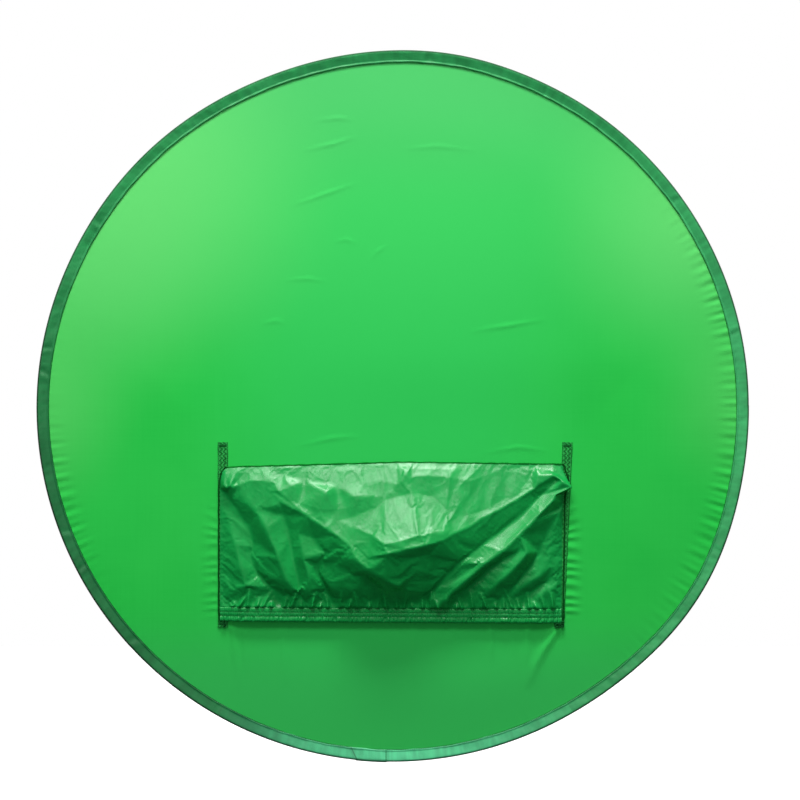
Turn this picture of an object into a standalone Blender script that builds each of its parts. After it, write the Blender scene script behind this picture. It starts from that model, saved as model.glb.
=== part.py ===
"""A collapsible round backdrop that hangs on the back of a chair.

Metres, +Z up. The disc stands in the XZ plane. Its rear, with the pocket, faces -Y.
The origin is the middle of the pocket's top seam, on the panel's rear face.
A disc piece is turned about local +Z, then stood up, so that local +Z faces -Y.
"""

import math

import bmesh
import bpy
from mathutils import Matrix, Vector

COLLECTION = "round_backdrop"

# The disc
RIM_RADIUS = 0.710
HUB_Z = 0.117
TURN_STEPS = 144
CLOTH = 0.0012
GAP = 0.0003
SHEET_Y = CLOTH / 2
BEND_X = 0.450
BEND_Y = 0.030

# The binding, a folded tape with the hoop in its outer edge
BINDING_WIDTH = 0.024
BINDING_HALF_DEPTH = 0.0062
BINDING_ROOM = 0.0048
SHOULDER_ROOM = 0.0046
SHOULDER_INSET = 0.0055
CROWN_INSET = 0.0035
EDGE_INSET = 0.0008
BACK_WALL = 0.0016
LIP = 0.0014
SLOT = 0.0006
SLOT_END = 0.0010
SLOT_LENGTH = 0.0025
LIP_RADIUS = RIM_RADIUS - BINDING_WIDTH
TONGUE_RADIUS = RIM_RADIUS - 0.010
TONGUE_HALF = 0.0003

# The hoop, a flat steel band, and the plate that joins its ends
BAND_INSET = 0.0026
BAND_THICKNESS = 0.0008
BAND_HALF_WIDTH = 0.0044
PLATE_INSET = 0.0037
PLATE_HALF_WIDTH = 0.0040
PLATE_HALF_LENGTH = 0.035
BUTT_X = -0.047
RIVET_OFFSETS = (-0.024, -0.010, 0.010, 0.024)
RIVET_RADIUS = 0.0012
RIVET_HEAD_RADIUS = 0.0022
RIVET_HEAD = 0.0004
RIVET_STEPS = 16
HOLE_LENGTH = 0.006
JOIN_LOW_X = -0.080
JOIN_HIGH_X = -0.014
JOIN_THICKNESS = 0.0008

# The tapes under the pocket, each from its top to its bottom as (x, z)
TAPE_WIDTH = 0.020
TAPE_THICKNESS = 0.0010
TAPES = {
    "left": ((-0.338, 0.044), (-0.338, -0.325)),
    "right": ((0.349, 0.044), (0.332, -0.327)),
}
TACK_WIDTH = 0.014
TACK_HEIGHT = 0.004
TACK_INSET = 0.007
TACK_THICKNESS = 0.0006
EDGE_BEVEL = 0.0003
OVER_TAPE = GAP + TAPE_THICKNESS + GAP

# The pocket's seams
SEAM_WIDTH = 0.006
SEAM_HALF_LENGTH = 0.346
SIDE_SEAMS = {
    "left": ((-0.342, -0.0036), (-0.342, -0.284)),
    "right": ((0.342, -0.0036), (0.337, -0.284)),
}

# The pocket, a shell that stands out from the panel along a V-shaped fold
POCKET_HALF_WIDTH = 0.334
POCKET_TOP = -0.0045
POCKET_BOTTOM = -0.2845
POCKET_EDGE_DEPTH = 0.0038
POCKET_COLUMNS = 28
POCKET_ROWS = 14
FOLD_DEPTH = 0.080
FOLD_SIDE_Z = -0.020
FOLD_MIDDLE_Z = -0.173
HEM_RISE = 8.0

# The hem casing and the elastic in it
HEM_DEPTH = 0.0105
CASING_HALF_LENGTH = 0.326
CASING_TOP = -0.2855
CASING_HEIGHT = 0.0280
CASING_THICKNESS = 0.0050
CASING_WALL = 0.0009
CASING_BEVEL = 0.0015
ELASTIC_HEIGHT = 0.018
ELASTIC_THICKNESS = 0.0012
ELASTIC_INSET = 0.001
ELASTIC_TACKS_X = {"left": -0.338, "right": 0.336}
ELASTIC_TACK_HEIGHT = 0.016
ELASTIC_TACK_THICKNESS = 0.0010

# Boxes that reach well past the disc
FAR = 1.0
CUT_DEPTH = 0.1


def clear_scene():
    for item in list(bpy.data.objects):
        bpy.data.objects.remove(item, do_unlink=True)


def new_collection(name):
    collection = bpy.data.collections.new(name)
    bpy.context.scene.collection.children.link(collection)
    return collection


clear_scene()
parts = new_collection(COLLECTION)
cutters = new_collection("cutters")


def finish(name, color, roughness, metallic=0.0):
    """One plain material."""
    material = bpy.data.materials.new(name)
    material.use_nodes = True
    shader = material.node_tree.nodes["Principled BSDF"]
    shader.inputs["Base Color"].default_value = (*color, 1.0)
    shader.inputs["Roughness"].default_value = roughness
    shader.inputs["Metallic"].default_value = metallic
    return material


FINISHES = {
    "screen_fabric": ((0.035, 0.520, 0.095), 0.85, 0.0),
    "binding_satin": ((0.040, 0.280, 0.110), 0.45, 0.0),
    "pocket_satin": ((0.020, 0.260, 0.080), 0.35, 0.0),
    "webbing": ((0.030, 0.240, 0.090), 0.80, 0.0),
    "elastic": ((0.060, 0.300, 0.120), 0.70, 0.0),
    "thread": ((0.030, 0.200, 0.080), 0.60, 0.0),
    "spring_steel": ((0.450, 0.460, 0.480), 0.35, 1.0),
}


def add_object(name, mesh, collection=parts, slot=None):
    item = bpy.data.objects.new(name, mesh)
    collection.objects.link(item)
    if slot:
        mesh.materials.append(finish(name, *FINISHES[slot]))
    if collection is cutters:
        item.hide_render = True
        item.display_type = "WIRE"
    return item


def box(name, low, high, collection=parts, slot=None):
    """An upright box between two corners."""
    low, high = Vector(low), Vector(high)
    shape = bmesh.new()
    bmesh.ops.create_cube(shape, size=1.0)
    bmesh.ops.scale(shape, vec=high - low, verts=shape.verts)
    mesh = bpy.data.meshes.new(name)
    shape.to_mesh(mesh)
    shape.free()
    item = add_object(name, mesh, collection, slot)
    item.location = (low + high) / 2
    return item


def bevel(item, width, segments=1):
    modifier = item.modifiers.new("rounded_edges", "BEVEL")
    modifier.width = width
    modifier.segments = segments
    modifier.limit_method = "ANGLE"


def cut(item, cutter, operation="DIFFERENCE"):
    modifier = item.modifiers.new(cutter.name, "BOOLEAN")
    modifier.operation = operation
    modifier.object = cutter
    modifier.solver = "EXACT"


def outline_mesh(name, points, closed):
    """A profile of edges in the XZ plane."""
    mesh = bpy.data.meshes.new(name)
    count = len(points)
    edges = [(index, (index + 1) % count) for index in range(count if closed else count - 1)]
    mesh.from_pydata([(radius, 0.0, depth) for radius, depth in points], edges, [])
    return mesh


def turn(item, steps):
    modifier = item.modifiers.new("turned", "SCREW")
    modifier.axis = "Z"
    modifier.angle = 2 * math.pi
    modifier.steps = steps
    modifier.render_steps = steps
    modifier.use_merge_vertices = True
    modifier.merge_threshold = 0.00001
    modifier.use_smooth_shade = False


def disc_piece(name, profile, slot, sector, closed=True):
    """The part of a turned ring or disc that lies inside one box."""
    item = add_object(name, outline_mesh(name, profile, closed), parts, slot)
    item.location = (0.0, SHEET_Y, HUB_Z)
    item.rotation_euler = (math.pi / 2, 0.0, 0.0)
    turn(item, TURN_STEPS)
    cut(item, sector, "INTERSECT")
    return item


def mirrored(points):
    """Points above the sheet, then their mirror images below it in reverse order."""
    return points + [(radius, -depth) for radius, depth in reversed(points)]


def offset_line(points, distance):
    """An open line moved sideways, to its left, with its corners mitred."""
    moved = []
    for index, point in enumerate(points):
        here = Vector(point)
        before = Vector(points[max(index - 1, 0)])
        after = Vector(points[min(index + 1, len(points) - 1)])
        first = (here - before if index else after - here).normalized()
        second = (after - here if index < len(points) - 1 else here - before).normalized()
        normal = (Vector((-first.y, first.x)) + Vector((-second.y, second.x))).normalized()
        reach = distance / normal.dot(Vector((-first.y, first.x)))
        moved.append(tuple(here + normal * reach))
    return moved


def binding_outside():
    depth = BINDING_HALF_DEPTH
    return mirrored([
        (LIP_RADIUS, LIP),
        (RIM_RADIUS - SHOULDER_INSET, 0.90 * depth),
        (RIM_RADIUS - CROWN_INSET, depth),
        (RIM_RADIUS - EDGE_INSET, 0.90 * depth),
        (RIM_RADIUS, 0.60 * depth),
    ])


def binding_inside():
    return mirrored([
        (LIP_RADIUS, SLOT),
        (LIP_RADIUS + SLOT_LENGTH, SLOT_END),
        (RIM_RADIUS - SHOULDER_INSET, SHOULDER_ROOM),
        (RIM_RADIUS - BACK_WALL, BINDING_ROOM),
    ])


def binding_profile():
    return binding_outside() + binding_inside()[::-1]


def join_profile():
    """A second layer of tape that wraps the binding."""
    outside = binding_outside()
    return offset_line(outside, GAP + JOIN_THICKNESS) + offset_line(outside, GAP)[::-1]


def band_profile(inset, half_width):
    outer = RIM_RADIUS - inset
    inner = outer - BAND_THICKNESS
    return [(outer, half_width), (outer, -half_width), (inner, -half_width), (inner, half_width)]


def panel_profile():
    face_radius = LIP_RADIUS - GAP
    return mirrored([
        (0.0, CLOTH / 2),
        (face_radius, CLOTH / 2),
        (face_radius, TONGUE_HALF),
        (TONGUE_RADIUS, TONGUE_HALF),
    ])


def sectors():
    """The boxes that share the disc out between its bodies."""
    middle = BEND_X - GAP
    side = BEND_X + GAP
    spans = {
        "middle": (-middle, middle, HUB_Z - FAR, HUB_Z + FAR),
        "top": (-middle, middle, HUB_Z, HUB_Z + FAR),
        "bottom": (-middle, middle, HUB_Z - FAR, HUB_Z),
        "left": (-FAR, -side, HUB_Z - FAR, HUB_Z + FAR),
        "right": (side, FAR, HUB_Z - FAR, HUB_Z + FAR),
        "bottom_left": (-middle, BUTT_X - GAP, HUB_Z - FAR, HUB_Z),
        "bottom_right": (BUTT_X + GAP, middle, HUB_Z - FAR, HUB_Z),
        "plate": (BUTT_X - PLATE_HALF_LENGTH, BUTT_X + PLATE_HALF_LENGTH, HUB_Z - FAR, HUB_Z),
        "join": (JOIN_LOW_X, JOIN_HIGH_X, HUB_Z - FAR, HUB_Z),
    }
    return {
        name: box("sector_" + name, (low_x, -CUT_DEPTH, low_z), (high_x, CUT_DEPTH, high_z), cutters)
        for name, (low_x, high_x, low_z, high_z) in spans.items()
    }


def make_panel(sector):
    return {
        side: disc_piece("screen_panel_" + side, panel_profile(), "screen_fabric", sector[side], False)
        for side in ("middle", "left", "right")
    }


def make_binding(sector):
    pieces = {
        side: disc_piece("rim_binding_" + side, binding_profile(), "binding_satin", sector[side])
        for side in ("top", "bottom", "left", "right")
    }
    disc_piece("binding_join", join_profile(), "binding_satin", sector["join"])
    return pieces


def rivet_place(offset):
    """Where a rivet stands on the band, with its axis along the hoop's radius."""
    angle = math.asin((BUTT_X + offset) / RIM_RADIUS)
    downwards = Matrix.Rotation(math.pi - angle, 4, "Y")
    return Matrix.Translation((0.0, SHEET_Y, HUB_Z)) @ downwards


def make_rivet(name, offset):
    """A shank through band and plate, with a flat head at each end."""
    outer_head = RIM_RADIUS - BAND_INSET + GAP
    inner_head = RIM_RADIUS - PLATE_INSET - BAND_THICKNESS - GAP
    profile = [
        (0.0, outer_head + RIVET_HEAD),
        (RIVET_HEAD_RADIUS, outer_head + RIVET_HEAD),
        (RIVET_HEAD_RADIUS, outer_head),
        (RIVET_RADIUS, outer_head),
        (RIVET_RADIUS, inner_head),
        (RIVET_HEAD_RADIUS, inner_head),
        (RIVET_HEAD_RADIUS, inner_head - RIVET_HEAD),
        (0.0, inner_head - RIVET_HEAD),
    ]
    item = add_object(name, outline_mesh(name, profile, False), parts, "spring_steel")
    item.matrix_world = rivet_place(offset)
    turn(item, RIVET_STEPS)


def rivet_hole(offset):
    shape = bmesh.new()
    bmesh.ops.create_cone(
        shape,
        cap_ends=True,
        segments=RIVET_STEPS,
        radius1=RIVET_RADIUS + GAP,
        radius2=RIVET_RADIUS + GAP,
        depth=HOLE_LENGTH,
        matrix=Matrix.Translation((0.0, 0.0, RIM_RADIUS - PLATE_INSET)),
    )
    mesh = bpy.data.meshes.new("rivet_hole")
    shape.to_mesh(mesh)
    shape.free()
    item = add_object("rivet_hole", mesh, cutters)
    item.matrix_world = rivet_place(offset)
    return item


def make_hoop(sector):
    band = band_profile(BAND_INSET, BAND_HALF_WIDTH)
    sides = ("top", "bottom_left", "bottom_right", "left", "right")
    pieces = {
        side: disc_piece("hoop_band_" + side, band, "spring_steel", sector[side]) for side in sides
    }
    plate_outline = band_profile(PLATE_INSET, PLATE_HALF_WIDTH)
    plate = disc_piece("hoop_splice_plate", plate_outline, "spring_steel", sector["plate"])
    for number, offset in enumerate(RIVET_OFFSETS, 1):
        make_rivet(f"hoop_rivet_{number}", offset)
        hole = rivet_hole(offset)
        cut(plate, hole)
        cut(pieces["bottom_left" if offset < 0 else "bottom_right"], hole)
    return pieces


def strip(name, top, bottom, width, near, thickness, slot):
    """A flat strip from top to bottom, each (x, z), whose panel side is this near the panel."""
    top, bottom = Vector(top), Vector(bottom)
    half = Vector((width, thickness, (top - bottom).length)) / 2
    item = box(name, -half, half, parts, slot)
    middle = (top + bottom) / 2
    item.location = (middle.x, -(near + thickness / 2), middle.y)
    lean = math.atan2(top.x - bottom.x, top.y - bottom.y)
    item.rotation_euler = (0.0, lean, 0.0)
    return item


def make_tapes():
    for side, (top, bottom) in TAPES.items():
        tape = strip(f"pocket_tape_{side}", top, bottom, TAPE_WIDTH, GAP, TAPE_THICKNESS, "webbing")
        bevel(tape, EDGE_BEVEL)
        top, bottom = Vector(top), Vector(bottom)
        along = (bottom - top).normalized()
        for end, middle in (("top", top + along * TACK_INSET), ("bottom", bottom - along * TACK_INSET)):
            half = along * TACK_HEIGHT / 2
            name = f"tape_tack_{side}_{end}"
            ends = (middle - half, middle + half)
            strip(name, *ends, TACK_WIDTH, OVER_TAPE, TACK_THICKNESS, "thread")


def make_seams():
    half = SEAM_WIDTH / 2
    low = (-SEAM_HALF_LENGTH, -OVER_TAPE - TAPE_THICKNESS, -half)
    high = (SEAM_HALF_LENGTH, -OVER_TAPE, half)
    bevel(box("pocket_top_seam", low, high, parts, "pocket_satin"), EDGE_BEVEL)
    for side, ends in SIDE_SEAMS.items():
        name = f"pocket_side_seam_{side}"
        seam = strip(name, *ends, SEAM_WIDTH, OVER_TAPE, TAPE_THICKNESS, "pocket_satin")
        bevel(seam, EDGE_BEVEL)


def pocket_depth(x, z):
    """How far the pocket's cloth stands off the panel."""
    inward = 1.0 - abs(x) / POCKET_HALF_WIDTH
    fold_z = FOLD_SIDE_Z + (FOLD_MIDDLE_Z - FOLD_SIDE_Z) * inward
    fold_depth = POCKET_EDGE_DEPTH + FOLD_DEPTH * inward
    hem_depth = POCKET_EDGE_DEPTH + (HEM_DEPTH - POCKET_EDGE_DEPTH) * min(1.0, inward * HEM_RISE)
    if z > fold_z:
        down = (POCKET_TOP - z) / (POCKET_TOP - fold_z)
        return POCKET_EDGE_DEPTH + (fold_depth - POCKET_EDGE_DEPTH) * down
    down = (fold_z - z) / (fold_z - POCKET_BOTTOM)
    return fold_depth + (hem_depth - fold_depth) * down


def make_pocket():
    """A flat grid pushed out to the pocket's depth and given the cloth's thickness."""
    shape = bmesh.new()
    bmesh.ops.create_grid(shape, x_segments=POCKET_COLUMNS, y_segments=POCKET_ROWS, size=1.0)
    for vertex in shape.verts:
        x = vertex.co.x * POCKET_HALF_WIDTH
        z = POCKET_TOP + (POCKET_BOTTOM - POCKET_TOP) * (1.0 - vertex.co.y) / 2
        vertex.co = (x, -pocket_depth(x, z), z)
    mesh = bpy.data.meshes.new("pocket_cloth")
    shape.to_mesh(mesh)
    shape.free()
    item = add_object("pocket_cloth", mesh, parts, "pocket_satin")
    solid = item.modifiers.new("thickness", "SOLIDIFY")
    solid.thickness = CLOTH
    solid.offset = 0.0
    return item


def make_hem():
    """A flat tube along the pocket's mouth, open at both ends, with the elastic in it."""
    middle_z = CASING_TOP - CASING_HEIGHT / 2
    middle = Vector((0.0, -HEM_DEPTH, middle_z))
    half = Vector((CASING_HALF_LENGTH, CASING_THICKNESS / 2, CASING_HEIGHT / 2))
    casing = box("hem_casing", middle - half, middle + half, parts, "pocket_satin")
    bevel(casing, CASING_BEVEL, 2)
    room = Vector((FAR, half.y - CASING_WALL, half.z - CASING_WALL))
    cut(casing, box("casing_room", middle - room, middle + room, cutters))
    half = Vector((CASING_HALF_LENGTH - ELASTIC_INSET, ELASTIC_THICKNESS / 2, ELASTIC_HEIGHT / 2))
    elastic = box("hem_elastic", middle - half, middle + half, parts, "elastic")
    return [casing, elastic]


def make_elastic_tacks():
    """The thread patches on the tapes, where the elastic's ends are held."""
    middle_z = CASING_TOP - CASING_HEIGHT / 2
    half = ELASTIC_TACK_HEIGHT / 2
    for side, x in ELASTIC_TACKS_X.items():
        ends = ((x, middle_z + half), (x, middle_z - half))
        name = f"elastic_tack_{side}"
        strip(name, *ends, TACK_WIDTH, OVER_TAPE, ELASTIC_TACK_THICKNESS, "thread")


def hang_on(name, location, pieces):
    """Parents pieces to an empty on their joint's axis, without moving them."""
    pivot = bpy.data.objects.new(name, None)
    parts.objects.link(pivot)
    pivot.location = location
    for piece in pieces:
        piece.parent = pivot
        piece.matrix_parent_inverse = Matrix.Translation(location).inverted()


def build():
    sector = sectors()
    panel = make_panel(sector)
    binding = make_binding(sector)
    hoop = make_hoop(sector)
    make_tapes()
    make_seams()
    make_elastic_tacks()
    pocket_pieces = [make_pocket()] + make_hem()
    hang_on("pocket_mouth_axis", (0.0, 0.0, 0.0), pocket_pieces)
    for side, sign in (("left", -1), ("right", 1)):
        wing = [panel[side], binding[side], hoop[side]]
        hang_on(f"{side}_bend_axis", (sign * BEND_X, BEND_Y, HUB_Z), wing)


build()
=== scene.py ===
"""Looks for the collapsible round backdrop with a chair-back pocket.

Metres, +Z up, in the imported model's own frame. The rear, with the pocket, faces -Y.
The panel, rim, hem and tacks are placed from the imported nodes' boxes. The pocket's outline, seams,
tapes and creases are given in the same frame. A cloth's UV map is in metres along the cloth, so that
weave and colour stay on it when a side bends or the pocket opens.
"""

import math

import bpy
import numpy as np
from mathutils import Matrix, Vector, noise
from mathutils.geometry import delaunay_2d_cdt


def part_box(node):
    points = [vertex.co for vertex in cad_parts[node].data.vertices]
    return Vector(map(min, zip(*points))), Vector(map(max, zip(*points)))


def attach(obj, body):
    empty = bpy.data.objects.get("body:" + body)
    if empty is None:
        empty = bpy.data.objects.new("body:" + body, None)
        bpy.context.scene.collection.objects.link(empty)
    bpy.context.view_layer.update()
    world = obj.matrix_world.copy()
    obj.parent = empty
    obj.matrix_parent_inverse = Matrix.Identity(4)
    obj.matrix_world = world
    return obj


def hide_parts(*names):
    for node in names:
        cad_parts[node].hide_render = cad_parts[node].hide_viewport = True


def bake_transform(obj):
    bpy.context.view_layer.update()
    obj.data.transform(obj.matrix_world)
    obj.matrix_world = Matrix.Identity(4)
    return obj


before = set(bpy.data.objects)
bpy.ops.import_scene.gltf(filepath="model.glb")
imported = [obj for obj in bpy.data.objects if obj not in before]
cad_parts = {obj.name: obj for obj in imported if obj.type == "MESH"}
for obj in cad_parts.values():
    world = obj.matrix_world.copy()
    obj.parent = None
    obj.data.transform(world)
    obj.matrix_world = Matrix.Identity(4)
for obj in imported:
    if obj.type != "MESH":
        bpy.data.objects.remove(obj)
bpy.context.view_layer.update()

# Places read from the frame
PANEL_LOW, PANEL_HIGH = (np.array(corner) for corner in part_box("screen_panel_middle"))
RIM_LOW, RIM_HIGH = (np.array(corner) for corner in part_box("rim_binding_top"))
CASING_LOW, CASING_HIGH = (np.array(corner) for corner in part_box("hem_casing"))
HUB_Z = float(PANEL_LOW[2] + PANEL_HIGH[2]) / 2
SHEET_Y = float(PANEL_LOW[1] + PANEL_HIGH[1]) / 2
RIM_RADIUS = float(RIM_HIGH[2]) - HUB_Z

# The rim
BINDING_WIDTH = 0.024
BINDING_HALF_DEPTH = float(RIM_HIGH[1] - RIM_LOW[1]) / 2
PANEL_TUCK = 0.012
LAP_START = -0.0735
LAP_SLANT = -0.0152
LAP_END = -0.0118
SPLIT_X = 0.360
GRAIN = 0.0033
BAND_NEAR, BAND_FAR, BAND_HALF_WIDTH = 0.0026, 0.0034, 0.0044

# The studio
CAMERA_PLACE = (0.015, -3.766, HUB_Z + 0.011)
FLOOR_REACH, FLOOR_BEHIND = 9.0, 6.0
CHAIR_BACK_HEIGHT = 1.15
KEY_POWER = 58.0
TOP_POWER = 112.0
FILL_POWER = 41.0
BACK_POWER = 420.0
WALLS = 0.02
CEILING = 0.34

# The pocket's cloth: how much it is longer than it looks, and how far it may settle
SLACK_TOP = -0.010
SLACK_HEM = -0.055
SETTLING_STEPS = 24
SETTLING_CAP = 0.012
SETTLING_STRIDE = 4
CREASE_SOFTNESS = 2.1
BILLOW_SOFTNESS = 3.8
LOBE_REACH = 0.0240

# The pocket's cloth laid flat, width by height, and its grid of points
POCKET_FLAT = (0.800, 0.335)
POCKET_COLUMNS, POCKET_ROWS = 661, 281

# The pocket's outline
POCKET_LEFT = -0.3435
POCKET_RIGHT_TOP = 0.3400
POCKET_RIGHT_FOOT = 0.3365
HEM_TOP = float(CASING_HIGH[2])
HEM_FOOT = float(CASING_LOW[2])
HEM_DEPTH = -float(CASING_LOW[1] + CASING_HIGH[1]) / 2
SEAM_DEPTH = 0.0024
CASING_OVERLAP = 0.0025


# ---------------------------------------------------------------- meshes


def grid_faces(rows, columns, closed_rows=False, closed_columns=False):
    """Quads over a grid of points, as an array of four indices each."""
    row = np.arange(rows if closed_rows else rows - 1)
    column = np.arange(columns if closed_columns else columns - 1)
    here, there = np.meshgrid(row, column, indexing="ij")
    next_row, next_column = (here + 1) % rows, (there + 1) % columns
    corners = [(here, there), (next_row, there), (next_row, next_column), (here, next_column)]
    return np.stack([(a * columns + b).ravel() for a, b in corners], axis=1)


def mesh_object(name, points, faces, uv=None, material=None):
    """A smooth-shaded object from arrays of points, faces and per-point UVs."""
    mesh = bpy.data.meshes.new(name)
    mesh.from_pydata(points.tolist(), [], faces.tolist())
    if uv is not None:
        layer = mesh.uv_layers.new(name="cloth")
        corner = np.empty(len(mesh.loops), dtype=np.int32)
        mesh.loops.foreach_get("vertex_index", corner)
        layer.data.foreach_set("uv", uv[corner].astype(np.float32).ravel())
    mesh.shade_smooth()
    item = bpy.data.objects.new(name, mesh)
    bpy.context.scene.collection.objects.link(item)
    if material:
        mesh.materials.append(material)
    return item


def sheet_object(name, x, depth, z, uv_x, uv_z, material, closed_columns=False):
    """One sheet over a grid, from arrays of x, z and depth towards -Y."""
    points = np.stack([x, -depth, z], axis=-1).reshape(-1, 3)
    uv = np.stack([uv_x, uv_z], axis=-1).reshape(-1, 2)
    faces = grid_faces(*x.shape, closed_columns=closed_columns)
    return mesh_object(name, points, faces, uv, material)


def smooth(value, low, high):
    """0 below low, 1 above high, and an S curve between."""
    share = np.clip((np.asarray(value, float) - low) / (high - low), 0.0, 1.0)
    return share * share * (3.0 - 2.0 * share)


def bump_at(value, centre, width):
    return np.exp(-((np.asarray(value, float) - centre) / width) ** 2)


def nearest_on_path(x, z, path):
    """Distance to a path of (x, z, ...) points, and the other values interpolated along it."""
    path = np.asarray(path, float)
    best = np.full(x.shape, np.inf)
    values = [np.zeros(x.shape) for _ in range(path.shape[1] - 2)]
    for start, end in zip(path[:-1], path[1:]):
        run = end[:2] - start[:2]
        share = ((x - start[0]) * run[0] + (z - start[1]) * run[1]) / (run @ run)
        share = np.clip(share, 0.0, 1.0)
        away = np.hypot(x - start[0] - share * run[0], z - start[1] - share * run[1])
        closer = away < best
        best = np.where(closer, away, best)
        for index, value in enumerate(values):
            along = start[2 + index] + share * (end[2 + index] - start[2 + index])
            values[index] = np.where(closer, along, value)
    return best, values


def crest(away, width, soft):
    """A fold's section: a crest softened over one length, falling to nothing at its width."""
    share = np.clip((np.sqrt(away * away + soft * soft) - soft) / width, 0.0, 1.0)
    return (1.0 - share) ** 2


def folds(x, z, paths, soft=0.003):
    """The summed heights of folds, each a path of (x, z, height, width) points."""
    total = np.zeros(x.shape)
    for path in paths:
        away, (height, width) = nearest_on_path(x, z, path)
        total += height * crest(away, width, soft)
    return total


def clouds(x, z, size, seed, stretch=1.0):
    """Smooth noise from about -1 to 1, with features of one size."""
    flat = [
        noise.noise(Vector((a / size, b / (size * stretch), seed)))
        for a, b in zip(x.ravel().tolist(), z.ravel().tolist())
    ]
    return np.array(flat).reshape(x.shape)


def tube(path, radius, sides, normals=None, flat=1.0):
    """A round or flattened thread along a path of points, left open at both ends."""
    path = np.asarray(path, float)
    ahead = np.gradient(path, axis=0)
    ahead /= np.linalg.norm(ahead, axis=1)[:, None]
    out = np.tile((0.0, -1.0, 0.0), (len(path), 1)) if normals is None else normals
    side = np.cross(ahead, out)
    side /= np.linalg.norm(side, axis=1)[:, None]
    turn = np.arange(sides) * 2 * math.pi / sides
    ring = (
        side[:, None, :] * np.cos(turn)[None, :, None]
        + out[:, None, :] * np.sin(turn)[None, :, None] * flat
    )
    radii = np.broadcast_to(radius, (len(path),))[:, None, None]
    points = (path[:, None, :] + ring * radii).reshape(-1, 3)
    faces = grid_faces(len(path), sides, closed_columns=True)
    return points, faces


def joined(shapes):
    """Several (points, faces) pairs as one."""
    points, faces, start = [], [], 0
    for some_points, some_faces in shapes:
        points.append(some_points)
        faces.append(some_faces + start)
        start += len(some_points)
    return np.concatenate(points), np.concatenate(faces)


STITCH_SHAPE = np.array([0.35, 0.85, 1.0, 0.85, 0.35])
THREAD_SIDES = 5


def stitches(path, pitch, length, radius, out, lift=0.0002):
    """A row of stitches along a path: short threads that dip into the cloth between holes."""
    path = np.asarray(path, float)
    step = np.linalg.norm(np.diff(path, axis=0), axis=1)
    travelled = np.concatenate([[0.0], np.cumsum(step)])
    out = np.broadcast_to(np.asarray(out, float), path.shape)
    shapes = []
    for start in np.arange(0.0, travelled[-1] - length, pitch):
        places = start + np.linspace(0.0, length, len(STITCH_SHAPE))
        centre = np.stack([np.interp(places, travelled, path[:, k]) for k in range(3)], axis=1)
        normal = np.stack([np.interp(places, travelled, out[:, k]) for k in range(3)], axis=1)
        arch = np.sin(np.linspace(0.0, math.pi, len(STITCH_SHAPE)))
        centre = centre + normal * (lift + radius * (arch[:, None] - 0.6))
        shapes.append(tube(centre, radius * STITCH_SHAPE, THREAD_SIDES, normal))
    return joined(shapes)


def sewn_piece(name, shape, material):
    """A piece made of thread, from (points, faces)."""
    piece = mesh_object(name, *shape, None, material)
    return piece


# ---------------------------------------------------------------- materials


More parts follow.
